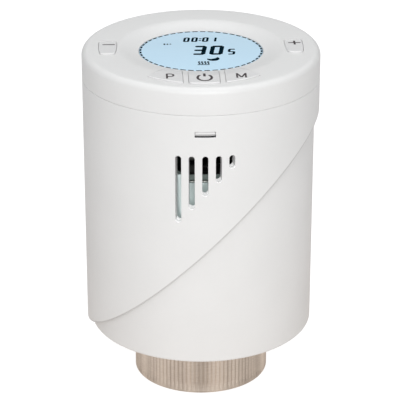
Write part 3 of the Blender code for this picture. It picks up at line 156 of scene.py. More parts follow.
def filleted(corners, steps=6, closed=True):
    """A profile with each (radius, height, fillet) corner turned into an arc of its fillet."""
    points = []
    count = len(corners)
    for i, (r, z, fillet) in enumerate(corners):
        here = np.array((r, z))
        if fillet == 0 or (not closed and i in (0, count - 1)):
            points.append(here)
            continue
        before = np.array(corners[i - 1][:2]) - here
        after = np.array(corners[(i + 1) % count][:2]) - here
        before, after = before / np.linalg.norm(before), after / np.linalg.norm(after)
        half = math.acos(np.clip(before @ after, -1, 1)) / 2
        middle = (before + after) / np.linalg.norm(before + after)
        centre = here + middle * fillet / math.sin(half)
        start = here + before * fillet / math.tan(half) - centre
        end = here + after * fillet / math.tan(half) - centre
        sweep = math.pi - 2 * half
        for share in np.linspace(0, 1, steps + 1):
            arc = (math.sin((1 - share) * sweep) * start + math.sin(share * sweep) * end) / math.sin(sweep)
            points.append(centre + arc)
    return np.array(points)


def turned(profile, around=AROUND, at=(0.0, 0.0), closed=True):
    """Points and faces of a profile carried round an upright axis: (r cos a, r sin a, z)."""
    angle = np.arange(around) * TURN / around
    r, z = profile[:, 0:1], profile[:, 1:2]
    x = at[0] + r * np.cos(angle)
    y = at[1] + r * np.sin(angle)
    points = np.stack([x, y, np.broadcast_to(z, x.shape)], axis=-1)
    return points, grid_faces(len(profile), around, wrap_rows=closed)


def resampled(outline, count):
    """A closed outline with its points spaced evenly along it."""
    loop = np.vstack([outline, outline[:1]])
    length = np.concatenate([[0], np.cumsum(np.linalg.norm(np.diff(loop, axis=0), axis=1))])
    at = np.linspace(0, length[-1], count, endpoint=False)
    return np.stack([np.interp(at, length, loop[:, i]) for i in range(2)], axis=1)


def relaxed(outline, rounds):
    """An even closed outline with worn corners: each round takes a point half-way to its neighbours."""
    for _ in range(rounds):
        outline = outline / 2 + (np.roll(outline, 1, 0) + np.roll(outline, -1, 0)) / 4
    return outline


def inset(outline, distance):
    """An anticlockwise outline moved inwards along its own normals."""
    along = np.roll(outline, -1, 0) - np.roll(outline, 1, 0)
    normal = np.stack([-along[:, 1], along[:, 0]], axis=1) / np.linalg.norm(along, axis=1)[:, None]
    return outline + distance * normal


def ringed(outline, level_rings, rings=(), height=None, spokes=6):
    """Points and faces of an upright solid: rings of the outline, each (inset, z), from the bottom up.

    The level rings come first, then the rings whose z is counted from height(x, y). Both ends close on the
    outline's middle.
    """
    middle = outline.mean(axis=0)
    stack = [(*ring, False) for ring in level_rings] + [(*ring, True) for ring in rings]
    rows = []
    for share in np.linspace(0, 1, spokes + 1)[:-1]:
        rows.append((middle + share * (inset(outline, stack[0][0]) - middle), *stack[0][1:]))
    rows += [(inset(outline, distance), z, follows) for distance, z, follows in stack]
    for share in np.linspace(1, 0, spokes + 1)[1:]:
        rows.append((middle + share * (inset(outline, stack[-1][0]) - middle), *stack[-1][1:]))
    points = []
    for row, z, follows in rows:
        lift = z + (height(row[:, 0], row[:, 1]) if follows else np.zeros(len(row)))
        points.append(np.column_stack([row, lift]))
    # The rows run from the bottom up, so the faces are turned round to point outwards.
    return np.array(points), grid_faces(len(points), len(outline))[:, ::-1]


def tube(path, radius, sides=10):
    """Points and faces of a round wire along a path. Its sides turn with the path's own normals."""
    path = np.asarray(path, float)
    along = np.gradient(path, axis=0)
    along /= np.linalg.norm(along, axis=1)[:, None]
    side = np.cross(along, (0.0, 0.0, 1.0))
    side /= np.linalg.norm(side, axis=1)[:, None]
    up = np.cross(side, along)
    angle = np.arange(sides) * TURN / sides
    ring = radius * (np.cos(angle)[:, None] * side[:, None, :] + np.sin(angle)[:, None] * up[:, None, :])
    points = path[:, None, :] + ring
    ends = [np.repeat(path[:1, None, :], sides, 1), points, np.repeat(path[-1:, None, :], sides, 1)]
    points = np.concatenate(ends)
    return points, grid_faces(len(points), sides)


def slab(path, width, height, thickness, lift=0.0):
    """Points and faces of a flat ribbon along a path in plan, lying on height(x, y)."""
    path = np.asarray(path, float)
    along = np.gradient(path, axis=0)
    along /= np.linalg.norm(along, axis=1)[:, None]
    side = np.stack([-along[:, 1], along[:, 0]], axis=1) * np.broadcast_to(width, len(path))[:, None] / 2
    left, right = path + side, path - side
    low = [height(edge[:, 0], edge[:, 1]) + lift for edge in (left, right)]
    ring = [(left, low[0] + thickness), (left, low[0]), (right, low[1]), (right, low[1] + thickness)]
    points = np.stack([np.column_stack(corner) for corner in ring], axis=1)
    middle = points.mean(axis=1, keepdims=True)
    points = np.concatenate([np.repeat(middle[:1], 4, 1), points, np.repeat(middle[-1:], 4, 1)])
    return points, grid_faces(len(points), 4)


def block(name, low, high):
    """A plain block, used as a cutter or as the core of a bevelled piece."""
    shape = bmesh.new()
    size = [b - a for a, b in zip(low, high)]
    middle = [(a + b) / 2 for a, b in zip(low, high)]
    bmesh.ops.create_cube(shape, size=1.0, matrix=Matrix.Translation(middle) @ Matrix.Diagonal((*size, 1.0)))
    mesh = bpy.data.meshes.new(name)
    shape.to_mesh(mesh)
    shape.free()
    return linked(name, mesh)


def prism(name, side, half_width):
    """A solid whose outline in the (y, z) plane is carried along x between minus and plus half_width."""
    shape = bmesh.new()
    ends = [[shape.verts.new((x, y, z)) for y, z in side] for x in (-half_width, half_width)]
    count = len(side)
    for i in range(count):
        j = (i + 1) % count
        shape.faces.new((ends[0][i], ends[0][j], ends[1][j], ends[1][i]))
    shape.faces.new(ends[0])
    shape.faces.new(ends[1][::-1])
    bmesh.ops.recalc_face_normals(shape, faces=shape.faces)
    mesh = bpy.data.meshes.new(name)
    shape.to_mesh(mesh)
    shape.free()
    return linked(name, mesh)


def rod(name, radius, bottom, top, at, around=PIN_AROUND):
    """A plain upright pin, used as a cutter or joined to another piece."""
    profile = np.array([(0, top), (radius, top), (radius, bottom), (0, bottom)])
    return new_object(name, *turned(profile, around, at, closed=False))


def settled(obj):
    """Applies an object's modifiers to its own mesh."""
    graph = bpy.context.evaluated_depsgraph_get()
    graph.update()
    mesh = bpy.data.meshes.new_from_object(obj.evaluated_get(graph))
    obj.modifiers.clear()
    obj.data = mesh
    return obj


def close_pinholes(obj):
    """Merges the corners round any pinhole that the cuts have left, and fills what stays open."""
    mesh = bmesh.new()
    mesh.from_mesh(obj.data)
    rim = [edge for edge in mesh.edges if edge.is_boundary]
    if rim:
        corners = list({corner for edge in rim for corner in edge.verts})
        bmesh.ops.remove_doubles(mesh, verts=corners, dist=PINHOLE)
        rim = [edge for edge in mesh.edges if edge.is_boundary]
        bmesh.ops.holes_fill(mesh, edges=rim, sides=PINHOLE_SIDES)
        mesh.to_mesh(obj.data)
    mesh.free()


def carve(obj, cutters, operation="DIFFERENCE"):
    """Cuts or joins other objects into this one and removes them."""
    for other in cutters:
        boolean = obj.modifiers.new(other.name, "BOOLEAN")
        boolean.operation = operation
        boolean.object = other
    settled(obj)
    for other in cutters:
        bpy.data.objects.remove(other)
    return obj


def soften(obj, width, angle=40):
    """Rounds the sharp edges of a piece."""
    bevel = obj.modifiers.new("edge_round", "BEVEL")
    bevel.width = width
    bevel.segments = 2
    bevel.limit_method = "ANGLE"
    bevel.angle_limit = math.radians(angle)
    bevel.use_clamp_overlap = True
    return settled(obj)


def dress(obj, body, material, nodes=(), sharp=35):
    """Gives a finished piece its shading, finish and body, and hides the CAD nodes that it replaces."""
    obj.data.shade_smooth()
    obj.data.set_sharp_from_angle(angle=math.radians(sharp))
    obj.data.materials.clear()
    obj.data.materials.append(material)
    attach(obj, body)
    if nodes:
        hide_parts(*nodes)


# ---- Finishes ----
def add_node(tree, kind, inputs=None, **settings):
    """A shader node and its settings. An input takes a number, a vector, or the socket that feeds it."""
    node = tree.nodes.new(kind)
    for name, value in settings.items():
        setattr(node, name, value)
    for name, value in (inputs or {}).items():
        if isinstance(value, bpy.types.NodeSocket):
            tree.links.new(value, node.inputs[name])
        else:
            node.inputs[name].default_value = value
    return node


def object_place(tree):
    return add_node(tree, "ShaderNodeTexCoord").outputs["Object"]


def colour_mix(tree, share, first, second):
    """A colour that runs from the first to the second as its share, a socket, runs from 0 to 1."""
    inputs = {"Factor": share, "A": first, "B": second}
    return add_node(tree, "ShaderNodeMix", inputs, data_type="RGBA").outputs["Result"]


def grain_group():
    """Shared surface variation: a fine grain for bump and a slow drift for colour and roughness."""
    group = bpy.data.node_groups.new("surface_grain", "ShaderNodeTree")
    face = group.interface
    for name, kind, value in (
        ("Fine Scale", "NodeSocketFloat", 900.0),
        ("Stretch", "NodeSocketVector", (1.0, 1.0, 1.0)),
        ("Drift Scale", "NodeSocketVector", (70.0, 70.0, 70.0)),
        ("Colour A", "NodeSocketColor", (0.8, 0.8, 0.8, 1.0)),
        ("Colour B", "NodeSocketColor", (0.7, 0.7, 0.7, 1.0)),
        ("Rough A", "NodeSocketFloat", 0.4),
        ("Rough B", "NodeSocketFloat", 0.5),
    ):
        face.new_socket(name, in_out="INPUT", socket_type=kind).default_value = value
    face.new_socket("Colour", in_out="OUTPUT", socket_type="NodeSocketColor")
    face.new_socket("Roughness", in_out="OUTPUT", socket_type="NodeSocketFloat")
    face.new_socket("Height", in_out="OUTPUT", socket_type="NodeSocketFloat")
    given = group.nodes.new("NodeGroupInput").outputs
    at = object_place(group)
    stretched = add_node(group, "ShaderNodeVectorMath", {0: at, 1: given["Stretch"]}, operation="MULTIPLY")
    fine = add_node(group, "ShaderNodeTexNoise", {
        "Vector": stretched.outputs[0], "Scale": given["Fine Scale"], "Detail": 3.0,
    }).outputs["Fac"]
    spread = add_node(group, "ShaderNodeVectorMath", {0: at, 1: given["Drift Scale"]}, operation="MULTIPLY")
    drift = add_node(group, "ShaderNodeTexNoise", {"Vector": spread.outputs[0], "Scale": 1.0, "Detail": 2.0})
    sums = {0: fine, 1: 0.35, 2: drift.outputs["Fac"]}
    both = add_node(group, "ShaderNodeMath", sums, operation="MULTIPLY_ADD").outputs[0]
    share = {"Value": both, "From Min": 0.45, "From Max": 0.9}
    share = add_node(group, "ShaderNodeMapRange", share).outputs["Result"]
    gloss = add_node(group, "ShaderNodeMix", {"Factor": share, "A": given["Rough A"], "B": given["Rough B"]})
    add_node(group, "NodeGroupOutput", {
        "Colour": colour_mix(group, share, given["Colour A"], given["Colour B"]),
        "Roughness": gloss.outputs["Result"], "Height": fine,
    })
    return group


GRAIN = grain_group()


def finish(name, colour_a, colour_b, rough, metallic=0.0, scale=900.0, stretch=(1, 1, 1), bump=0.02,
           coat=0.0, glow=0.0, subsurface=0.0, specular=0.5, drift=(70.0, 70.0, 70.0)):
    """A Principled finish whose colour, roughness and bump come from the shared grain."""
    material = bpy.data.materials.new(name)
    material.use_nodes = True
    tree = material.node_tree
    shader, link = tree.nodes["Principled BSDF"], tree.links.new
    grain = add_node(tree, "ShaderNodeGroup", node_tree=GRAIN)
    for name, value in (
        ("Fine Scale", scale), ("Stretch", stretch), ("Drift Scale", drift), ("Colour A", (*colour_a, 1.0)),
        ("Colour B", (*colour_b, 1.0)), ("Rough A", rough[0]), ("Rough B", rough[1]),
    ):
        grain.inputs[name].default_value = value
    link(grain.outputs["Colour"], shader.inputs["Base Color"])
    link(grain.outputs["Roughness"], shader.inputs["Roughness"])
    if bump:
        relief = {"Strength": 1.0, "Distance": bump * MM, "Height": grain.outputs["Height"]}
        link(add_node(tree, "ShaderNodeBump", relief).outputs["Normal"], shader.inputs["Normal"])
    shader.inputs["Metallic"].default_value = metallic
    shader.inputs["Coat Weight"].default_value = coat
    shader.inputs["Coat Roughness"].default_value = 0.1
    shader.inputs["Specular IOR Level"].default_value = specular
    if subsurface:
        shader.inputs["Subsurface Weight"].default_value = subsurface
        shader.inputs["Subsurface Scale"].default_value = 1.0 * MM
    # Glow from the finish's own colour: on the vent sills, the motor bracket and the motor's back it is
    # painted light.
    if glow:
        link(grain.outputs["Colour"], shader.inputs["Emission Color"])
        shader.inputs["Emission Strength"].default_value = glow
    return material


# The sleeve's copy of the shell white carries painted shade along the slanted edge.
SHELL_WHITE, SLEEVE_WHITE_PAINTED_SHADE = (
    finish(name, (0.745, 0.745, 0.74), (0.725, 0.725, 0.72), (0.34, 0.42), bump=0.006)
    for name in ("moulded_white_shell", "sleeve_white_painted_shade")
)
KEY_WHITE = finish("moulded_white_key", (0.74, 0.74, 0.74), (0.715, 0.715, 0.715), (0.30, 0.38), bump=0.004)
# A glowing white put on the slots' lower ends as painted light.
VENT_SILL_PAINTED_LIGHT = finish("vent_sill_painted_light", (0.745, 0.745, 0.745), (0.725, 0.725, 0.725), (0.4, 0.5), bump=0.004,
                  glow=0.55)
# A dark finish put on the hook window's sill as painted shadow.
WINDOW_SILL_PAINTED_SHADOW = finish("window_sill_painted_shadow", (0.07, 0.07, 0.075), (0.09, 0.09, 0.095), (0.7, 0.8), bump=0.004, specular=0.1)
NICKEL = finish("satin_nickel", (0.84, 0.77, 0.69), (0.52, 0.465, 0.41), (0.30, 0.46), 1.0, 420.0, (1, 1, 14),
                0.012, drift=(190.0, 190.0, 12.0))
LEGEND_INK = finish("legend_ink", (0.06, 0.05, 0.055), (0.08, 0.068, 0.07), (0.6, 0.7), bump=0.002,
                    specular=0.1)
LCD_PALE = finish("display_pale_blue", (0.475, 0.65, 0.775), (0.468, 0.643, 0.77), (0.28, 0.3), bump=0.0004,
                  glow=0.12, specular=0.15)
LCD_DARK = finish("display_segments", (0.002, 0.012, 0.02), (0.003, 0.014, 0.024), (0.5, 0.6), bump=0.001,
                  specular=0.0)
NYLON = finish("natural_nylon", (0.74, 0.71, 0.62), (0.68, 0.65, 0.56), (0.42, 0.52), bump=0.01,
               subsurface=0.2)
BLACK = finish("black_moulded", (0.018, 0.018, 0.02), (0.03, 0.03, 0.032), (0.4, 0.55), bump=0.01)
STEEL = finish("zinc_steel", (0.62, 0.62, 0.60), (0.52, 0.52, 0.50), (0.25, 0.4), 1.0, 700.0, (1, 1, 10),
               0.01)
MOTOR_STEEL = finish("motor_can_steel", (0.56, 0.62, 0.61), (0.48, 0.54, 0.53), (0.30, 0.42), 1.0, 260.0,
                     (1, 1, 0.06), 0.008)
# The zinc bracket glows a little as painted light.
BRACKET_ZINC_PAINTED_LIGHT = finish("bracket_zinc_painted_light", (0.60, 0.68, 0.67), (0.54, 0.62, 0.61), (0.3, 0.42), 0.6, 260.0,
                      (1, 1, 0.06), 0.008, glow=0.24)
GUIDE_CLEAR = finish("milky_acrylic", (0.82, 0.85, 0.88), (0.78, 0.81, 0.84), (0.1, 0.2), bump=0.002,
                     coat=0.5)
# The motor's end cap glows a little as painted light.
MOTOR_BACK_PAINTED_LIGHT = finish("motor_back_nylon_painted_light", (0.15, 0.18, 0.17), (0.13, 0.16, 0.15), (0.3, 0.4), bump=0.006,
                    glow=0.4)
BOARD = finish("solder_mask", (0.012, 0.11, 0.05), (0.02, 0.15, 0.07), (0.25, 0.35), scale=1500.0,
               bump=0.006, coat=0.3)
CELL_JACKETS = [
    finish(f"cell_jacket_{i}", (0.02, 0.035, 0.075), (0.03, 0.045, 0.09), (0.22, 0.3), bump=0.003, coat=0.4)
    for i in (1, 2)
]
BRASS = finish("pinion_brass", (0.78, 0.58, 0.28), (0.68, 0.48, 0.22), (0.25, 0.4), 1.0, 700.0, bump=0.006)
CHIP_BLACK = finish("chip_resin", (0.012, 0.012, 0.013), (0.02, 0.02, 0.022), (0.5, 0.65), scale=2500.0)


def overlaid(material, share, colour):
    """Lays a colour over a finish's own by a share, a socket of its tree."""
    tree = material.node_tree
    base = tree.nodes["Principled BSDF"].inputs["Base Color"]
    tree.links.new(colour_mix(tree, share, base.links[0].from_socket, (*colour, 1.0)), base)


def tracked(material, track, scale):
    """Lays tracks over a finish: thin lines where a pattern of square cells is near a cell's edge."""
    tree = material.node_tree
    cell = {"Vector": object_place(tree), "Scale": scale}
    cell = add_node(tree, "ShaderNodeTexVoronoi", cell, distance="CHEBYCHEV")
    line = {"Value": cell.outputs["Distance"], "From Min": 0.42, "From Max": 0.46}
    overlaid(material, add_node(tree, "ShaderNodeMapRange", line).outputs["Result"], track)


def shade_edge(material, normal, level, width, shade):
    """Gives a finish another colour behind a plane: full at the plane, gone at width along its normal. It
    paints shade along the sleeve's slanted edge and the cells' printed bands.
    """
    tree = material.node_tree
    along = {0: object_place(tree), 1: normal}
    along = add_node(tree, "ShaderNodeVectorMath", along, operation="DOT_PRODUCT")
    fade = {
        "Value": along.outputs["Value"], "From Min": level + 0.3 * width, "From Max": level + width,
        "To Min": 1.0, "To Max": 0.0,
    }
    fade = add_node(tree, "ShaderNodeMapRange", fade, interpolation_type="SMOOTHSTEP")
    overlaid(material, fade.outputs["Result"], shade)


tracked(BOARD, (0.05, 0.26, 0.12), 260.0)


# ---- Cap ----
def lean_share(radius, height):
    """Part of the cap's lean that a point takes: none at the seam or the display, all of it on the ring."""
    up = np.clip((height - CAP_EDGE) / (RING_TOP - CAP_EDGE), 0, 1)
    out = np.clip((radius - LCD_OPENING) / (RING_INNER - LCD_OPENING), 0, 1)
    return up * out * out * (3 - 2 * out)


def leaned(points):
    """Tips the top of the cap up towards the back: z + lean * y * share(radius, z)."""
    points = np.array(points)
    radius = np.hypot(points[..., 0], points[..., 1])
    points[..., 2] += CAP_LEAN * points[..., 1] * lean_share(radius, points[..., 2])
    return points


def dish(radius):
    """Height of the cap's top before it leans: a flat ring and a smooth slope down to the display."""
    out = np.clip((radius - LCD_OPENING) / (RING_INNER - LCD_OPENING), 0, 1)
    lip = LCD_TOP + 0.1 * MM
    return lip + (RING_TOP - lip) * (0.35 * out + 0.65 * out * out * (3 - 2 * out))


def top_height(x, y):
    """Height of the cap's leaning top over a point in plan."""
    radius = np.hypot(x, y)
    level = dish(radius)
    return level + CAP_LEAN * y * lean_share(radius, np.maximum(level, RING_TOP - 1e-6))


def cap_shell():
    """The cap's walls and roof: one closed profile carried round the axis, then leaned back."""
    inner_wall = BODY_RADIUS - CAP_WALL
    roof = RING_TOP - CAP_ROOF
    slope = np.linspace(LCD_OPENING + 0.12 * MM, RING_INNER + 0.4 * MM, 18)
    lip = LCD_TOP - 0.92 * MM
    outside = [
        (RING_INNER + 0.8 * MM, RING_TOP, 0),
        (BODY_RADIUS, RING_TOP, CAP_ROUND),
        (BODY_RADIUS, CAP_EDGE, 0.07 * MM),
        (HOUSING_RADIUS + 0.05 * MM, CAP_EDGE, 0),
        (HOUSING_RADIUS, SKIRT_BOTTOM, 0.3 * MM),
        (SKIRT_INSIDE, SKIRT_BOTTOM, 0.3 * MM),
        (SKIRT_INSIDE, CAP_EDGE + 1.5 * MM, 0),
        (inner_wall, CAP_EDGE + 2.1 * MM, 0),
        (inner_wall, roof, 0.7 * MM),
        (RING_INNER, roof, 0),
        (LCD_OPENING + 0.85 * MM, lip, 0),
        (LCD_OPENING, lip, 0),
        (LCD_OPENING, LCD_TOP + 0.06 * MM, 0),
    ]
    profile = np.vstack([filleted(outside, 10), np.column_stack([slope, dish(slope)])])
    points, faces = turned(profile, 320)
    return new_object("cap_shell", leaned(points), faces)


def place(azimuth, radius):
    """(x, y) at azimuths in degrees, counted from the front towards +X."""
    angle = np.radians(azimuth)
    return radius * np.sin(angle), -radius * np.cos(angle)


KEY_INNER = LCD_OPENING + 0.75 * MM
KEY_OUTER = BODY_RADIUS - 3.4 * MM
KEY_BOW = 20.0 * MM
STRIP_END = 33.0
POWER_HALF = 3.8 * MM
KEY_RIB = 1.3 * MM
KEY_GAP = 0.08 * MM
SIDE_KEY_X = (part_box("plus_button")[0].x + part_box("plus_button")[1].x) / 2
SIDE_KEY_Y = (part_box("plus_button")[0].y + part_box("plus_button")[1].y) / 2


def bowed(azimuth):
    """Radius of the front keys' outer edge: an arc of KEY_BOW whose middle reaches KEY_OUTER."""
    centre = KEY_OUTER - KEY_BOW
    angle = np.radians(azimuth)
    return centre * np.cos(angle) + np.sqrt(KEY_BOW**2 - (centre * np.sin(angle)) ** 2)


def front_key_outline(side, wear=12):
    """A front key in plan, anticlockwise: a bowed outer edge, two straight sides and an inner circle."""
    near = POWER_HALF + (KEY_RIB if side else 0.0)
    bow_y = KEY_OUTER - KEY_BOW + math.sqrt(KEY_BOW**2 - near**2)
    outer_near = math.degrees(math.atan2(near, bow_y))
    inner_near = math.degrees(math.asin(near / KEY_INNER))
    low = (outer_near, inner_near) if side else (-outer_near, -inner_near)
    high = (STRIP_END, STRIP_END) if side else (outer_near, inner_near)
    outer = np.linspace(low[0], high[0], 40)
    inner = np.linspace(high[1], low[1], 40)
    outline = np.vstack([
        np.column_stack(place(outer, bowed(outer))),
        np.column_stack(place(inner, np.full(40, KEY_INNER))),
    ])
    if side < 0:
        outline = outline[::-1] * (-1, 1)
    return relaxed(resampled(outline, 220), wear)


def shield_outline(side):
    """The minus or plus key in plan: wide and square at the back, drawn in and rounded at the front."""
    along = np.linspace(-1, 1, 40)
    half_length = 5.0 * MM
    half_width = (2.3 - 0.5 * np.clip(-along, 0, 1) ** 1.6) * MM
    right = np.column_stack([SIDE_KEY_X * side + half_width, SIDE_KEY_Y + along * half_length])
    left = np.column_stack([SIDE_KEY_X * side - half_width, SIDE_KEY_Y + along * half_length])[::-1]
    return relaxed(resampled(np.vstack([right, left]), 200), 30)


KEYS = {
    "program": front_key_outline(-1),
    "power": front_key_outline(0),
    "mode": front_key_outline(1),
    "minus": shield_outline(-1),
    "plus": shield_outline(1),
}


def key_rise(x, y, name):
    """How far a key's face stands over the cap, growing from its back to its front edge."""
    if name in ("minus", "plus"):
        share = np.clip((SIDE_KEY_Y - y) / (5.0 * MM), -1, 1)
        return (0.12 + 0.24 * share) * MM
    share = np.clip((np.hypot(x, y) - KEY_INNER) / (KEY_OUTER - KEY_INNER), 0, 1)
    return (0.02 + 0.36 * share**2) * MM


def key_face(name):
    """The height function of a key's face."""
    return lambda x, y: top_height(x, y) + key_rise(x, y, name)


BOSS_RADIUS = 2.5 * MM


def key_caps():
    """Each key: a solid whose face follows the cap's top, slightly proud, with a rounded edge."""
    for name, outline in KEYS.items():
        node = name + "_button"
        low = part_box(node)[0].z
        edge = 0.2 * MM
        arc = np.radians(np.linspace(0, 90, 6))
        rim = [(KEY_GAP / 2 + edge * (1 - math.cos(a)), -edge * (1 - math.sin(a))) for a in arc]
        obj = new_object(name + "_key", *ringed(outline, [(KEY_GAP / 2, low)], rim, key_face(name), 10))
        dress(obj, name + "_key", KEY_WHITE, [node])


def key_openings():
    """Cutters for the keys' openings in the cap's roof."""
    low, high = LCD_TOP - 2.2 * MM, RING_TOP + 2 * MM
    openings = []
    for name, outline in KEYS.items():
        rings = [(-KEY_GAP / 2, low), (-KEY_GAP / 2, high)]
        openings.append(new_object("opening_" + name, *ringed(outline, rings, spokes=1)))
    return openings


def cap():
    """The cap with its hook and three screw bosses joined on and its key openings cut."""
    shell = cap_shell()
    hook_low, hook_high, hook_half = SLEEVE_TOP - 4.78 * MM, SLEEVE_TOP - 4.22 * MM, 2.4 * MM
    front, back = -BODY_RADIUS + 0.12 * MM, -HOUSING_RADIUS + 0.6 * MM
    side = np.array([(front, hook_high), (front, hook_low), (back, hook_low), (back, hook_high)])
    hook = prism("hook", side, hook_half)
    soften(hook, 0.08 * MM)
    bosses = []
    for i in range(3):
        at = node_middle(f"board_screw_{i + 1}")
        boss = rod(f"boss_{i}", BOSS_RADIUS, BOARD_TOP + 0.3 * MM, RING_TOP - 1.1 * MM, at)
        hole = rod(f"boss_hole_{i}", SCREW_HOLE, BOARD_TOP - MM, RING_TOP - 2.1 * MM, at)
        bosses.append(carve(boss, [hole]))
    carve(shell, [hook, *bosses], "UNION")
    carve(shell, key_openings())
    soften(shell, 0.12 * MM)
    close_pinholes(shell)
    dress(shell, "cover", SHELL_WHITE, ["top_cap"])


# ---- Sleeve and housing ----
CUT_HEIGHT = 44.4 * MM
CUT_LEAN = math.radians(44.0)
CUT_SLOPE = math.tan(CUT_LEAN)
CUT_AZIMUTH = math.radians(88.0)


def cut_plane(x, y):
    """Height of the sleeve's slanted edge, a plane, over a point in plan."""
    return CUT_HEIGHT + CUT_SLOPE * (x * math.sin(CUT_AZIMUTH) - y * math.cos(CUT_AZIMUTH))


def sleeve_shell():
    """The sleeve: a ring whose lower rows follow the slanted plane and whose upper rows stay level.

    A row is (radius, height from the top, height from the slanted edge, share of the second in the first).
    """
    edge = 0.22 * MM
    arc = [(edge * math.cos(a), edge * math.sin(a)) for a in np.radians(np.linspace(0, 90, 6))]
    outer_top = [(BODY_RADIUS - edge + out, up - edge, 0.0, 0.0) for out, up in arc[::-1]]
    outer_wall = [(BODY_RADIUS, -edge, edge, share) for share in np.linspace(0, 1, 60)]
    outer_low = [(BODY_RADIUS - edge + out, 0.0, edge - up, 1.0) for out, up in arc]
    inner_low = [(SLEEVE_INSIDE + edge - up, 0.0, edge - out, 1.0) for out, up in arc]
    inner_wall = [(SLEEVE_INSIDE, -edge, edge, share) for share in np.linspace(1, 0, 40)]
    inner_top = [(SLEEVE_INSIDE, 0.0, 0.0, 0.0)]
    rows = np.array(outer_top + outer_wall + outer_low + inner_low + inner_wall + inner_top)
    angle = np.arange(AROUND) * TURN / AROUND
    r, from_top, from_edge, share = (rows[:, i : i + 1] for i in range(4))
    x, y = r * np.cos(angle), r * np.sin(angle)
    z = (1 - share) * (SLEEVE_TOP + from_top) + share * (cut_plane(x, y) + from_edge)
    points = np.stack([x, y, z], axis=-1)
    return new_object("sleeve_shell", points, grid_faces(len(rows), AROUND, wrap_rows=True))


VENT_COUNT = 5
VENT_WIDTH = 1.5 * MM
VENT_LONGEST = 17.5 * MM
VENT_STEP = 3.5 * MM  # how much shorter each slot is than its left neighbour
VENT_SPREAD = 6.3  # degrees from one slot to the next
VENT_TOP = SLEEVE_TOP - 10.4 * MM


def vent_cutters(name, low, high):
    """Round-ended slots in the front wall, each shorter than its left neighbour, between two radii."""
    cutters = []
    for i in range(VENT_COUNT):
        length, width = VENT_LONGEST - VENT_STEP * i, VENT_WIDTH
        half = (length - width) / 2
        arc = np.radians(np.linspace(0, 180, 15))
        upper = np.column_stack([width / 2 * np.cos(arc), half + width / 2 * np.sin(arc)])
        outline = np.vstack([upper, -upper])
        points, faces = ringed(outline, [(0.0, -high), (0.0, -low)], spokes=1)
        azimuth = VENT_SPREAD * (i - (VENT_COUNT - 1) / 2)
        middle = VENT_TOP - length / 2
        upright = Matrix.Translation((0, 0, middle)) @ Matrix.Rotation(math.radians(azimuth), 4, "Z")
        turn = np.array(upright @ Matrix.Rotation(math.radians(-90), 4, "X"))
        flat = points.reshape(-1, 3) * (1, -1, 1)
        moved = flat @ turn[:3, :3].T + turn[:3, 3]
        cutters.append(new_object(f"{name}_{i}", moved, faces[:, ::-1]))
    return cutters


def vent_ends(at, normal):
    """Picks the faces inside the walls that look up from a slot's lower end, which get a glowing white as
    painted light.
    """
    radius = np.hypot(at[:, 0], at[:, 1])
    picked = (radius > HOUSING_INSIDE + 0.05 * MM) & (radius < BODY_RADIUS - 0.1 * MM) & (normal[:, 2] > 0.25)
    picked &= (np.abs(at[:, 0]) < 9.5 * MM) & (at[:, 1] < 0)
    return picked & (at[:, 2] > VENT_TOP - 19 * MM) & (at[:, 2] < VENT_TOP)


def painted(obj, material, chosen):
    """Gives another finish to the faces that chosen(centres, normals) picks."""
    obj.data.materials.append(material)
    count = len(obj.data.polygons)
    centres, normals, index = np.empty(count * 3), np.empty(count * 3), np.empty(count, np.int32)
    for name, values in (("center", centres), ("normal", normals), ("material_index", index)):
        obj.data.polygons.foreach_get(name, values)
    index[chosen(centres.reshape(-1, 3), normals.reshape(-1, 3))] = len(obj.data.materials) - 1
    obj.data.polygons.foreach_set("material_index", index)


WINDOW_TOP = SLEEVE_TOP - 4.1 * MM
WINDOW_HEIGHT = 1.4 * MM
WINDOW_HALF = 2.55 * MM


def window_sill(at, normal):
    """Picks the faces of the window's lower edge, which get a dark finish as painted shadow under the hook.
    """
    picked = (np.abs(at[:, 0]) < WINDOW_HALF + 0.05 * MM) & (at[:, 1] < -SLEEVE_INSIDE + 0.1 * MM)
    return picked & (np.abs(at[:, 2] - WINDOW_TOP + WINDOW_HEIGHT) < 0.12 * MM) & (normal[:, 2] > 0.3)


def sleeve():
    """The sleeve with its slots, the window for the cap's hook, painted shade along its slanted edge, painted
    shadow on the window's sill and painted light on the slots' lower ends.
    """
    shell = sleeve_shell()
    lean = math.cos(CUT_LEAN)
    normal = (-lean * CUT_SLOPE * math.sin(CUT_AZIMUTH), lean * CUT_SLOPE * math.cos(CUT_AZIMUTH), lean)
    # Painted shade: the sleeve's colour darkens to grey within 0.42 mm of the slanted edge, for the shadow in
    # the gap there.
    shade_edge(SLEEVE_WHITE_PAINTED_SHADE, normal, lean * CUT_HEIGHT, 0.42 * MM, (0.5, 0.495, 0.49))
    low_corner = (-WINDOW_HALF, -BODY_RADIUS - MM, WINDOW_TOP - WINDOW_HEIGHT)
    window = block("hook_window", low_corner, (WINDOW_HALF, -BODY_RADIUS / 2, WINDOW_TOP))
    carve(shell, [window, *vent_cutters("sleeve_vent", HOUSING_RADIUS - MM, BODY_RADIUS + MM)])
    soften(shell, CUT_ROUND)
    dress(shell, "cover", SLEEVE_WHITE_PAINTED_SHADE, ["outer_sleeve"])
    # Painted light: the slots' lower ends in the sleeve glow white.
    painted(shell, VENT_SILL_PAINTED_LIGHT, vent_ends)
    # Painted shadow: the window's sill gets the dark finish.
    painted(shell, WINDOW_SILL_PAINTED_SHADOW, window_sill)


POST_SLACK = 0.3 * MM  # from a post's shoulder to the plate it carries
NOTCH_HALF = 16.75 * MM
NOTCH_BOTTOM = 24 * MM


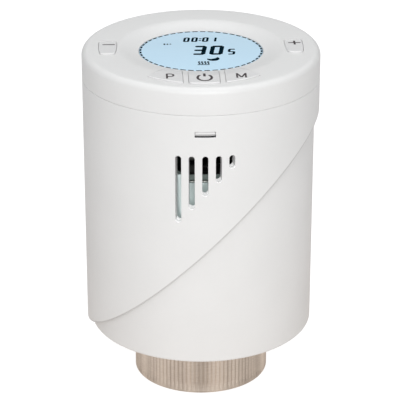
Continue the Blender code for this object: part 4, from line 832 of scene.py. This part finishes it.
def housing():
    """The inner housing: a cup with posts, a battery notch and slots behind those of the sleeve."""
    profile = filleted([
        (HOUSING_RADIUS, HOUSING_TOP, 0.25 * MM),
        (HOUSING_RADIUS, HOUSING_BOTTOM, 0.7 * MM),
        (5.3 * MM, HOUSING_BOTTOM, 0.2 * MM),
        (5.3 * MM, FLOOR_TOP, 0.2 * MM),
        (HOUSING_INSIDE, FLOOR_TOP, 0.5 * MM),
        (HOUSING_INSIDE, HOUSING_TOP, 0.25 * MM),
    ])
    shell = new_object("housing_shell", *turned(profile))
    posts, holes = [], []
    shoulder, top = (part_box(plate)[0].z - POST_SLACK for plate in ("bearing_plate", "gearbox_plate"))
    for i in range(3):
        at = node_middle(f"plate_screw_{i + 1}")
        steps = filleted([
            (0, top, 0), (2.0 * MM, top, 0.2 * MM), (2.0 * MM, shoulder, 0), (2.6 * MM, shoulder, 0.1 * MM),
            (2.6 * MM, FLOOR_TOP - MM, 0), (0, FLOOR_TOP - MM, 0),
        ], 3, closed=False)
        posts.append(new_object(f"post_{i}", *turned(steps, PIN_AROUND, at, closed=False)))
        holes.append(rod(f"post_hole_{i}", SCREW_HOLE, top - 5.7 * MM, top + MM, at))
    carve(shell, posts, "UNION")
    for i in range(3):
        at = node_middle(f"collar_screw_{i + 1}")
        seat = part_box(f"collar_screw_{i + 1}")[1].z - 1.2 * MM
        holes.append(rod(f"floor_hole_{i}", SCREW_HOLE, HOUSING_BOTTOM - MM, seat + 0.2 * MM, at))
        holes.append(rod(f"floor_seat_{i}", 2.2 * MM, seat, FLOOR_TOP + MM, at))
    holes.append(rod("axle_seat", 1.2 * MM, FLOOR_TOP - 1.2 * MM, FLOOR_TOP + MM, node_middle("gear_axle_2")))
    notch_top = (-BODY_RADIUS / 2, NOTCH_HALF, HOUSING_TOP + MM)
    holes.append(block("battery_notch", (-2 * BODY_RADIUS, -NOTCH_HALF, NOTCH_BOTTOM), notch_top))
    holes += vent_cutters("housing_vent", HOUSING_INSIDE - MM, HOUSING_RADIUS + MM)
    carve(shell, holes)
    soften(shell, CUT_ROUND)
    close_pinholes(shell)
    dress(shell, "core", SHELL_WHITE, ["inner_housing"])
    # Painted light: the slots' lower ends in the housing glow white.
    painted(shell, VENT_SILL_PAINTED_LIGHT, vent_ends)


# ---- Union nut ----
def union_nut():
    """The nut: fine ribs outside and a thread inside, both as waves of the turned surface's radius."""
    radius, top = NUT_BOX[1].x, NUT_BOX[1].z
    around, pitch, ribs = 1152, 1.5 * MM, 96
    rib_depth, thread_depth, bore_radius = 0.32 * MM, 0.75 * MM, 14.55 * MM
    lip = 12.3 * MM
    thread_top = top - 3.95 * MM
    knurl = filleted([
        (lip, top, 0.3 * MM), (radius, top, 0.5 * MM), (radius, 0.0, 0.5 * MM), (14.6 * MM, 0.0, 0.2 * MM),
    ], 5, closed=False)
    wall = np.column_stack([np.full(12, radius), np.linspace(top - 0.6 * MM, 0.6 * MM, 12)])
    split = np.argmax(knurl[:, 1] < top - 0.51 * MM)
    outside = np.vstack([knurl[:split], wall, knurl[split:]])
    bore = np.column_stack([np.full(100, bore_radius), np.linspace(0.4 * MM, thread_top, 100)])
    profile = np.vstack([outside, bore, [(lip, thread_top)]])
    angle = np.arange(around) * TURN / around
    r = np.repeat(profile[:, 0:1], around, 1)
    z = np.repeat(profile[:, 1:2], around, 1)
    on_wall = np.clip((r - radius + 0.4 * MM) / (0.4 * MM), 0, 1)
    fade = np.clip(np.minimum(z - 0.9 * MM, top - 0.9 * MM - z) / (0.35 * MM), 0, 1)
    rib = np.abs(((angle * ribs / TURN) % 1.0) * 2 - 1)
    r -= rib_depth * on_wall * fade * rib**1.3
    in_bore = (np.arange(len(profile)) >= len(outside)) & (np.arange(len(profile)) < len(profile) - 1)
    wave = np.abs(((z / pitch + angle / TURN) % 1.0) * 2 - 1)
    ends = np.clip(np.minimum(z - 0.4 * MM, thread_top - 0.3 * MM - z) / (0.8 * MM), 0, 1)
    r -= np.where(in_bore[:, None], thread_depth * wave * ends, 0.0)
    points = np.stack([r * np.cos(angle), r * np.sin(angle), z], axis=-1)
    obj = new_object("nut_ring", points, grid_faces(len(profile), around, wrap_rows=True))
    dress(obj, "nut", NICKEL, ["union_nut"], sharp=50)


# ---- Display and legends ----
def display_mark(path, width):
    """A thin dark ribbon on the display."""
    return slab(path, width, lambda x, y: np.full(np.shape(x), LCD_TOP), FLAT)


# The corners that a digit's segments run between, as (column, row), and the segments of each digit.
SEGMENTS = {
    "a": ((0, 2), (1, 2)), "b": ((1, 2), (1, 1)), "c": ((1, 1), (1, 0)), "d": ((0, 0), (1, 0)),
    "e": ((0, 1), (0, 0)), "f": ((0, 2), (0, 1)), "g": ((0, 1), (1, 1)),
}
DIGITS = {"0": "abcdef", "1": "bc", "3": "abcdg", "5": "acdfg"}


def digit_segments(text, origin, height, width, weight, lean=0.12):
    """Marks of seven-segment digits. Each segment is a ribbon with pointed ends."""
    parts = []
    x0 = origin[0]
    half = height / 2
    for mark in text:
        if mark == ":":
            for level in (0.3, 0.7):
                y = origin[1] + level * height
                x = x0 + lean * level * height + 0.1 * width
                parts.append(display_mark([(x - weight / 2, y), (x + weight / 2, y)], weight))
            x0 += 0.45 * width
            continue
        for segment in DIGITS[mark]:
            ends = []
            for column, row in SEGMENTS[segment]:
                y = weight / 2 + row * (half - weight / 2)
                ends.append((x0 + weight / 2 + column * (width - weight) + lean * y, origin[1] + y))
            start, end = np.array(ends[0]), np.array(ends[1])
            along = (end - start) / np.linalg.norm(end - start)
            past, point = 0.15 * weight, 0.3 * weight
            length = np.linalg.norm(end - start) + 2 * past
            path = [start + along * (distance - past) for distance in (0.0, point, length - point, length)]
            parts.append(display_mark(path, weight * np.array([0.4, 1.0, 1.0, 0.4])))
        x0 += width * 1.28
    return parts


def display():
    """The round display, its ring of dashes and its picture of digits and small marks."""
    edge = 0.12 * MM
    glass = filleted([
        (0, LCD_TOP, 0), (LCD_RADIUS + 0.05 * MM, LCD_TOP, edge), (LCD_RADIUS + 0.05 * MM, LCD_BOTTOM, edge),
        (0, LCD_BOTTOM, 0),
    ], 4, closed=False)
    panel = new_object("display_panel", *turned(glass, closed=False))
    dress(panel, "cover", LCD_PALE, ["lcd_panel"])
    parts = []
    dashes = 48
    for i in range(dashes):
        middle = 360.0 * (i + 0.5) / dashes
        x, y = place(np.linspace(middle - 2.55, middle + 2.55, 7), LCD_RADIUS - 0.24 * MM)
        parts.append(display_mark(np.column_stack([x, y]), 0.44 * MM))
    parts += digit_segments("30", (-2.5 * MM, -3.3 * MM), 7.0 * MM, 3.4 * MM, 1.1 * MM)
    parts += digit_segments("5", (6.4 * MM, -3.3 * MM), 4.4 * MM, 1.95 * MM, 0.66 * MM)
    parts += digit_segments("00:01", (-4.4 * MM, 6.9 * MM), 3.5 * MM, 1.6 * MM, 0.58 * MM)
    parts += small_marks()
    dress(merged_object("display_marks", parts), "cover", LCD_DARK)


def small_marks():
    """A crescent, four rising heat waves over a bar and a row of three day dots."""
    parts = []
    turn = np.radians(np.linspace(200, 380, 15))
    crescent = np.column_stack([2.6 + 1.35 * np.cos(turn), -5.7 + 1.5 * np.sin(turn)]) * MM
    swell = np.sin(np.linspace(0.05, math.pi - 0.05, 15)) * 1.7 * MM
    parts.append(display_mark(crescent, swell))
    for i in range(4):
        rise = np.linspace(0, 1, 12)
        x = -0.9 + 0.75 * i + 0.22 * np.sin(rise * TURN) + 0.3 * rise
        y = -10.3 + 2.0 * rise
        parts.append(display_mark(np.column_stack([x, y]) * MM, 0.38 * MM))
    parts.append(display_mark(np.array([(-1.2, -10.8), (1.8, -10.8)]) * MM, 0.42 * MM))
    for i in range(3):
        x = -9.3 + 0.75 * i
        parts.append(display_mark(np.array([(x, 5.3), (x + 0.45, 5.3)]) * MM, (1.0 - 0.25 * i) * MM))
    return parts


INK_LIFT = 0.012 * MM  # keeps a printed mark off the face that it follows


def letter_strokes(strokes, centre, size, width, top):
    """Slabs for a letter: each stroke is a list of points on a square of the given size about its centre."""
    parts = []
    for stroke in strokes:
        corners = np.array(centre) + (np.array(stroke) - 0.5) * np.array(size)
        share = np.linspace(0, len(corners) - 1, 6 * len(corners))
        path = np.column_stack([np.interp(share, np.arange(len(corners)), corners[:, i]) for i in (0, 1)])
        parts.append(slab(path, width, top, FLAT, INK_LIFT))
    return parts


def legends():
    """Printed marks on the keys: P, a power sign, M, minus and plus."""
    turn = np.radians(np.linspace(90, -90, 14))
    bowl = np.column_stack([0.5 + 0.5 * np.cos(turn), 0.72 + 0.28 * np.sin(turn)])
    bowl = np.vstack([[(0.0, 1.0)], bowl, [(0.0, 0.44)]])
    stem = [(0.06, 0.0), (0.06, 1.03)]
    face = key_face("program")
    parts = {}
    size = (1.7 * MM, 3.5 * MM)
    parts["program"] = letter_strokes([stem, bowl], (-8.2 * MM, -21.5 * MM), size, 0.46 * MM, face)
    face = key_face("mode")
    slants = [[(0.0, 0.97), (0.5, 0.1)], [(0.5, 0.1), (1.0, 0.97)]]
    strokes = [[(0.0, 0.0), (0.0, 1.0)], *slants, [(1.0, 1.0), (1.0, 0.0)]]
    parts["mode"] = letter_strokes(strokes, (9.0 * MM, -21.5 * MM), (2.1 * MM, 3.4 * MM), 0.44 * MM, face)
    face = key_face("power")
    sweep = np.radians(np.linspace(90 + 40, 450 - 40, 48))
    power = np.array((0.1 * MM, -22.6 * MM))
    ring = power + np.column_stack([1.7 * np.cos(sweep), 2.4 * np.sin(sweep)]) * MM
    bar = power + np.column_stack([np.zeros(6), np.linspace(0.9, 3.7, 6)]) * MM
    parts["power"] = [slab(path, 0.6 * MM, face, FLAT, INK_LIFT) for path in (ring, bar)]
    for name, side in (("minus", -1), ("plus", 1)):
        face = key_face(name)
        centre = np.array((SIDE_KEY_X * side + 0.25 * MM, 1.95 * MM))
        across = centre + np.column_stack([np.linspace(-1.55, 1.55, 8), np.zeros(8)]) * MM
        parts[name] = [slab(across, 0.5 * MM, face, FLAT, INK_LIFT)]
        if name == "plus":
            up = centre + np.column_stack([np.zeros(8), np.linspace(-1.6, 1.6, 8)]) * MM
            parts[name].append(slab(up, 0.5 * MM, face, FLAT, INK_LIFT + 0.003 * MM))
    for name, marks in parts.items():
        dress(merged_object(name + "_legend", marks), name + "_key", LEGEND_INK)


# ---- Motor, cells and the rest of the inside ----
def can_outline(radius, half_flats, at):
    """A circle cut by two flats that face the front and the back, with its corners worn round."""
    last = math.asin(half_flats / radius)
    arc = np.linspace(-last, last, 60)
    right = np.column_stack([radius * np.cos(arc), radius * np.sin(arc)])
    return relaxed(resampled(np.vstack([right, -right]), 240), 8) + np.array(at)


def rounded_rings(bottom, top, low_edge, high_edge, steps=6):
    """Level rings of an upright solid whose lower and upper edges are arcs: (inset, z) from the bottom up."""
    arc = np.radians(np.linspace(0, 90, steps))
    low = [(low_edge * (1 - math.sin(a)), bottom + low_edge * (1 - math.cos(a))) for a in arc]
    high = [(high_edge * (1 - math.cos(a)), top - high_edge * (1 - math.sin(a))) for a in arc]
    return low + high


def motor():
    """The can with its rolled rim and shaft well, and the end cap with its boss and two terminals."""
    at = node_middle("motor_can")
    low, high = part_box("motor_can")
    radius, flats = (high.x - low.x) / 2, (high.y - low.y) / 2
    outline = can_outline(radius, flats, at)
    rings = rounded_rings(low.z, high.z - 0.5 * MM, 0.6 * MM, 0.9 * MM)
    shell = new_object("motor_shell", *ringed(outline, rings))
    carve(shell, [rod("shaft_well", 1.3 * MM, low.z - MM, low.z + 5.4 * MM, at)])
    dress(shell, "core", MOTOR_STEEL, ["motor_can"])
    rings = rounded_rings(high.z - 0.45 * MM, high.z, 0.1 * MM, 0.3 * MM)
    rim = new_object("motor_rim", *ringed(inset(outline, 0.5 * MM), rings))
    dress(rim, "core", STEEL)
    low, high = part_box("motor_end_cap")
    cap_line = can_outline(radius - 0.45 * MM, flats - 0.45 * MM, at)
    deck = high.z - 0.5 * MM
    rings = rounded_rings(low.z, deck - 0.15 * MM, 0.1 * MM, 0.1 * MM)
    band = new_object("motor_back_side", *ringed(cap_line, rings))
    # The end cap's side has a glowing finish as painted light.
    dress(band, "core", MOTOR_BACK_PAINTED_LIGHT, ["motor_end_cap"])
    boss_radius = 3.1 * MM
    boss = [(0, high.z, 0), (boss_radius, high.z, 0.2 * MM), (boss_radius, deck, 0), (0, deck, 0)]
    plate = ringed(inset(cap_line, 0.12 * MM), rounded_rings(deck - 0.13 * MM, deck, 0.02 * MM, 0.08 * MM, 3))
    parts = [plate, turned(filleted(boss, 3, closed=False), PIN_AROUND, at, closed=False)]
    dress(merged_object("motor_back", parts), "core", BLACK)
    for i in (1, 2):
        node = f"motor_terminal_{i}"
        low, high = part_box(node)
        tab = block(f"motor_tab_{i}", low, high)
        eye = rod(f"tab_eye_{i}", 0.4 * MM, low.y - MM, high.y + MM, (0, 0), 24)
        centre = (node_middle(node)[0], 0, (low.z + high.z) / 2 + 0.5 * MM)
        eye.data.transform(Matrix.Translation(centre) @ Matrix.Rotation(math.radians(-90), 4, "X"))
        carve(tab, [eye])
        soften(tab, 0.06 * MM)
        dress(tab, "core", STEEL, [node])


BAND = 14 * MM  # length of a cell's printed band
COPPER_PRINT = (0.62, 0.27, 0.10)


def cells():
    """Each cell: a jacket, a bare base and a stepped nub, turned as one profile, and its printed band."""
    for i, up in ((1, True), (2, False)):
        node = f"battery_{i}"
        low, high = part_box(node)
        jacket_finish = CELL_JACKETS[i - 1]
        normal, level = ((0, 0, -1), BAND - high.z) if up else ((0, 0, 1), low.z + BAND)
        shade_edge(jacket_finish, normal, level, 0.2 * MM, COPPER_PRINT)
        at, radius = node_middle(node), (high.x - low.x) / 2
        length, nub = high.z - low.z, 1.0 * MM
        mouth, bare = radius - 1.1 * MM, radius - 1.15 * MM
        jacket = filleted([
            (mouth, length - nub, 0.1 * MM), (radius, length - nub, 0.5 * MM), (radius, 0.35 * MM, 0.4 * MM),
            (mouth, 0.35 * MM, 0.1 * MM), (mouth, 0.6 * MM, 0), (mouth, length - nub - 0.3 * MM, 0),
        ])
        metal = filleted([
            (0, length, 0), (2.6 * MM, length, 0.3 * MM), (2.6 * MM, length - nub - 0.1 * MM, 0.1 * MM),
            (bare, length - nub - 0.12 * MM, 0), (bare, 0.1 * MM, 0.3 * MM), (0, 0, 0),
        ], closed=False)
        for name, shape, slot_name, material, nodes in (
            ("jacket", jacket, "cell_jacket", jacket_finish, [node]), ("ends", metal, "steel", STEEL, ()),
        ):
            shape[:, 1] = low.z + shape[:, 1] if up else high.z - shape[:, 1]
            if not up:
                shape = shape[::-1]
            obj = new_object(f"cell_{name}_{i}", *turned(shape, 96, at, closed=name == "jacket"))
            dress(obj, "core", material, nodes)


def springs():
    """Conical coils of round wire: three turns whose radius shrinks as they rise, with flat closing turns."""
    for i in (1, 2):
        node = f"battery_spring_{i}"
        low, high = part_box(node)
        at = np.array(node_middle(node))
        share = np.linspace(0, 1, 200)
        turn = TURN * 3 * share
        wire = 0.35 * MM  # radius of the wire
        radius = 3.4 * MM * (1 - 0.4 * share)
        climb = np.clip((share - 0.12) / 0.76, 0, 1)
        z = low.z + wire + (high.z - low.z - 2 * wire) * climb
        path = np.column_stack([at[0] + radius * np.cos(turn), at[1] + radius * np.sin(turn), z])
        obj = new_object(f"cell_spring_{i}", *tube(path, wire, 12))
        dress(obj, "core", STEEL, [node])


RECESS_TURN = 37.0  # degrees from one screw's recess to the next
RECESS_DEPTH = 0.6 * MM
RECESS_HALVES = ((0.95 * MM, 0.2 * MM), (0.2 * MM, 0.95 * MM))


def screws():
    """Pan-head screws: a domed head with a cross recess, over a shank whose radius waves with its height."""
    names = [f"{place_of}_screw_{i}" for place_of in ("board", "collar", "plate") for i in (1, 2, 3)]
    for i, node in enumerate(names, 1):
        low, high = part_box(node)
        at = node_middle(node)
        head_up = not node.startswith("board")
        head, reach, shank = 0.9 * MM, (high.x - low.x) / 2, 0.9 * MM
        length, crown = high.z - low.z, 0.7 * MM
        dome = [(0, length), (crown, length)] + [
            (crown + (reach - crown) * math.sin(a), length - 0.55 * MM * (1 - math.cos(a)))
            for a in np.radians(np.linspace(10, 90, 8))
        ]
        z = np.linspace(length - head - 0.15 * MM, 0.7 * MM, 6 * int(length / MM))
        wave = np.abs(((z / (0.8 * MM)) % 1.0) * 2 - 1)
        thread = np.column_stack([shank - 0.16 * MM * wave, z])
        under = [(reach, length - head), (shank, length - head)]
        profile = np.vstack([dome, under, thread, [(0.15 * MM, 0), (0, 0)]])
        profile[:, 1] = low.z + profile[:, 1] if head_up else high.z - profile[:, 1]
        if not head_up:
            profile = profile[::-1]
        obj = new_object(node.replace("screw", "pan_screw"), *turned(profile, 32, at, closed=False))
        top = high.z if head_up else low.z
        cutters = []
        turn = Matrix.Translation((*at, top)) @ Matrix.Rotation(math.radians(RECESS_TURN * i), 4, "Z")
        for x, y in RECESS_HALVES:
            cutter = block("recess", (-x, -y, -RECESS_DEPTH), (x, y, RECESS_DEPTH))
            cutter.data.transform(turn)
            cutters.append(cutter)
        carve(obj, cutters)
        dress(obj, "cover" if node.startswith("board") else "core", STEEL, [node])


def plunger_tip():
    """The plunger's steel tip, turned, with a shallow hollow in the face that presses on the valve's pin."""
    low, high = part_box("plunger_tip")
    hollow = low.z + 0.25 * MM
    profile = filleted([
        (0, high.z, 0), (high.x, high.z, 0.3 * MM), (high.x, low.z, 0.4 * MM), (1.2 * MM, low.z, 0.1 * MM),
        (1.0 * MM, hollow, 0), (0, hollow, 0),
    ], closed=False)
    tip = new_object("pressure_tip", *turned(profile, 96, closed=False))
    dress(tip, "plunger", STEEL, ["plunger_tip"])


FINE_ANGLE = 50  # degrees: only sharper edges of a CAD shape are rounded
FLAT_ANGLE = math.radians(0.5)  # neighbouring faces closer than this to flat are joined


def fine_copy(node, body, material, width):
    """A CAD node's shape with its doubles merged, its flat faces joined and its edges rounded."""
    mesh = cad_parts[node].data.copy()
    shape = bmesh.new()
    shape.from_mesh(mesh)
    bmesh.ops.remove_doubles(shape, verts=shape.verts, dist=PINHOLE)
    bmesh.ops.dissolve_limit(shape, angle_limit=FLAT_ANGLE, verts=shape.verts, edges=shape.edges)
    shape.to_mesh(mesh)
    shape.free()
    obj = soften(linked(node + "_fine", mesh), width, FINE_ANGLE)
    dress(obj, body, material, [node])


def inner_pieces():
    """The rest of the inside: each CAD shape's slot, finish and width of its rounded edges in mm."""
    steel, black, nylon = ("steel", STEEL), ("black_plastic", BLACK), ("natural_nylon", NYLON)
    board, white = ("circuit_board", BOARD), ("white_shell", SHELL_WHITE)
    plan = {
        "core": {
            "power_board": (*board, 0.05), "battery_tray": (*black, 0.2),
            "battery_contact_bottom": (*steel, 0.08), "battery_contact_top": (*steel, 0.08),
            "valve_collar": (*nylon, 0.15), "plunger_guide": (*nylon, 0.12),
            # The motor bracket's finish glows as painted light.
            "motor_bracket": ("steel", BRACKET_ZINC_PAINTED_LIGHT, 0.12), "thrust_washer": (*steel, 0.04),
            "gear_axle_1": (*steel, 0.1), "gear_axle_2": (*steel, 0.1), "bearing_plate": (*nylon, 0.12),
            "gearbox_plate": (*nylon, 0.15),
        },
        "cover": {
            "display_frame": (*white, 0.1), "light_guide": ("clear_acrylic", GUIDE_CLEAR, 0.08),
            "reflector_plate": (*white, 0.05), "main_board": (*board, 0.05),
            "control_chip": ("black_plastic", CHIP_BLACK, 0.08), "radio_module": (*steel, 0.12),
            "room_sensor": (*black, 0.12), "edge_socket": (*black, 0.1),
            **{f"key_switch_{i}": (*black, 0.12) for i in range(1, 6)},
        },
        "plunger": {"plunger_screw": (*nylon, 0.08)},
        "drive": {"drive_wheel": (*nylon, 0.05)},
        "gear_2": {"reduction_gear_2": (*nylon, 0.05)},
        "gear_1": {"reduction_gear_1": (*nylon, 0.05)},
        "rotor": {"motor_pinion": ("steel", BRASS, 0.04), "motor_shaft": (*steel, 0.08)},
    }
    for body, nodes in plan.items():
        for node, (slot_name, material, width) in nodes.items():
            fine_copy(node, body, material, width * MM)


# ---- Stage ----
FLOOR_NEAR = (0.52, 0.455, 0.41, 1.0)  # warm light that the floor sends up beside the object
FLOOR_FAR = (0.47, 0.47, 0.475, 1.0)
FLOOR_SEEN = (0.9, 0.9, 0.9, 1.0)
SKY_LOW = (0.20, 0.20, 0.20, 1.0)
SKY_HIGH = (0.74, 0.75, 0.76, 1.0)


def stage():
    """The floor: a wide sheet, clear from below, whose glow is white in view and lights the object softly."""
    material = finish("pale_floor", (0.26,) * 3, (0.255,) * 3, (0.8, 0.9), bump=0.0, specular=0.1)
    tree = material.node_tree
    shader, link = tree.nodes["Principled BSDF"], tree.links.new
    reach = add_node(tree, "ShaderNodeVectorMath", {0: object_place(tree)}, operation="LENGTH")
    fade = {"Value": reach.outputs["Value"], "From Min": 0.05, "From Max": 0.22}
    fade = add_node(tree, "ShaderNodeMapRange", fade).outputs["Result"]
    cast = colour_mix(tree, fade, FLOOR_NEAR, FLOOR_FAR)
    in_view = tree.nodes.new("ShaderNodeLightPath").outputs["Is Camera Ray"]
    link(colour_mix(tree, in_view, cast, FLOOR_SEEN), shader.inputs["Emission Color"])
    shader.inputs["Emission Strength"].default_value = 1.0
    behind = tree.nodes.new("ShaderNodeNewGeometry").outputs["Backfacing"]
    facing = add_node(tree, "ShaderNodeMath", {0: 1.0, 1: behind}, operation="SUBTRACT")
    link(facing.outputs[0], shader.inputs["Alpha"])
    size, level = 3.0, -0.2 * MM
    corners = [(-size, -size, level), (size, -size, level), (size, size, level), (-size, size, level)]
    floor = new_object("studio_floor", corners, [(0, 1, 2, 3)])
    floor.data.materials.append(material)


def area_light(name, place_at, target, size, power):
    """A rectangular softbox that looks at a target."""
    data = bpy.data.lights.new(name, "AREA")
    data.shape = "RECTANGLE"
    data.size, data.size_y = size
    data.energy = power
    lamp = linked(name, data)
    lamp.location = place_at
    lamp.rotation_euler = (Vector(target) - Vector(place_at)).to_track_quat("-Z", "Y").to_euler()


def lights():
    """An even sky, brighter overhead than at the horizon, a large softbox in front and a weak one above."""
    world = bpy.data.worlds.new("studio_air")
    world.use_nodes = True
    tree = world.node_tree
    direction = add_node(tree, "ShaderNodeTexCoord").outputs["Generated"]
    height = add_node(tree, "ShaderNodeSeparateXYZ", {"Vector": direction}).outputs["Z"]
    tree.links.new(colour_mix(tree, height, SKY_LOW, SKY_HIGH), tree.nodes["Background"].inputs["Color"])
    bpy.context.scene.world = world
    area_light("front_softbox", (0.0, -1.12, 0.46), (0.0, 0.0, 0.05), (1.1, 0.9), 9.5)
    area_light("top_softbox", (0.0, 0.1, 1.2), (0.0, 0.0, 0.08), (0.9, 0.9), 4.3)


def camera():
    """A long lens that looks down at the front, a little from the left."""
    data = bpy.data.cameras.new("studio_camera")
    data.lens = 173.6
    data.sensor_width = 36.0
    data.clip_start = 0.02
    eye = linked("studio_camera", data)
    eye.location = (-0.0163, -0.4599, 0.2443)
    eye.rotation_euler = (math.radians(90 - 23.17), 0.0, math.radians(-2.0))
    bpy.context.scene.camera = eye


camera()
lights()
stage()
bpy.context.scene.view_settings.view_transform = "Standard"
cap()
key_caps()
sleeve()
housing()
union_nut()
display()
legends()
motor()
cells()
springs()
screws()
plunger_tip()
inner_pieces()
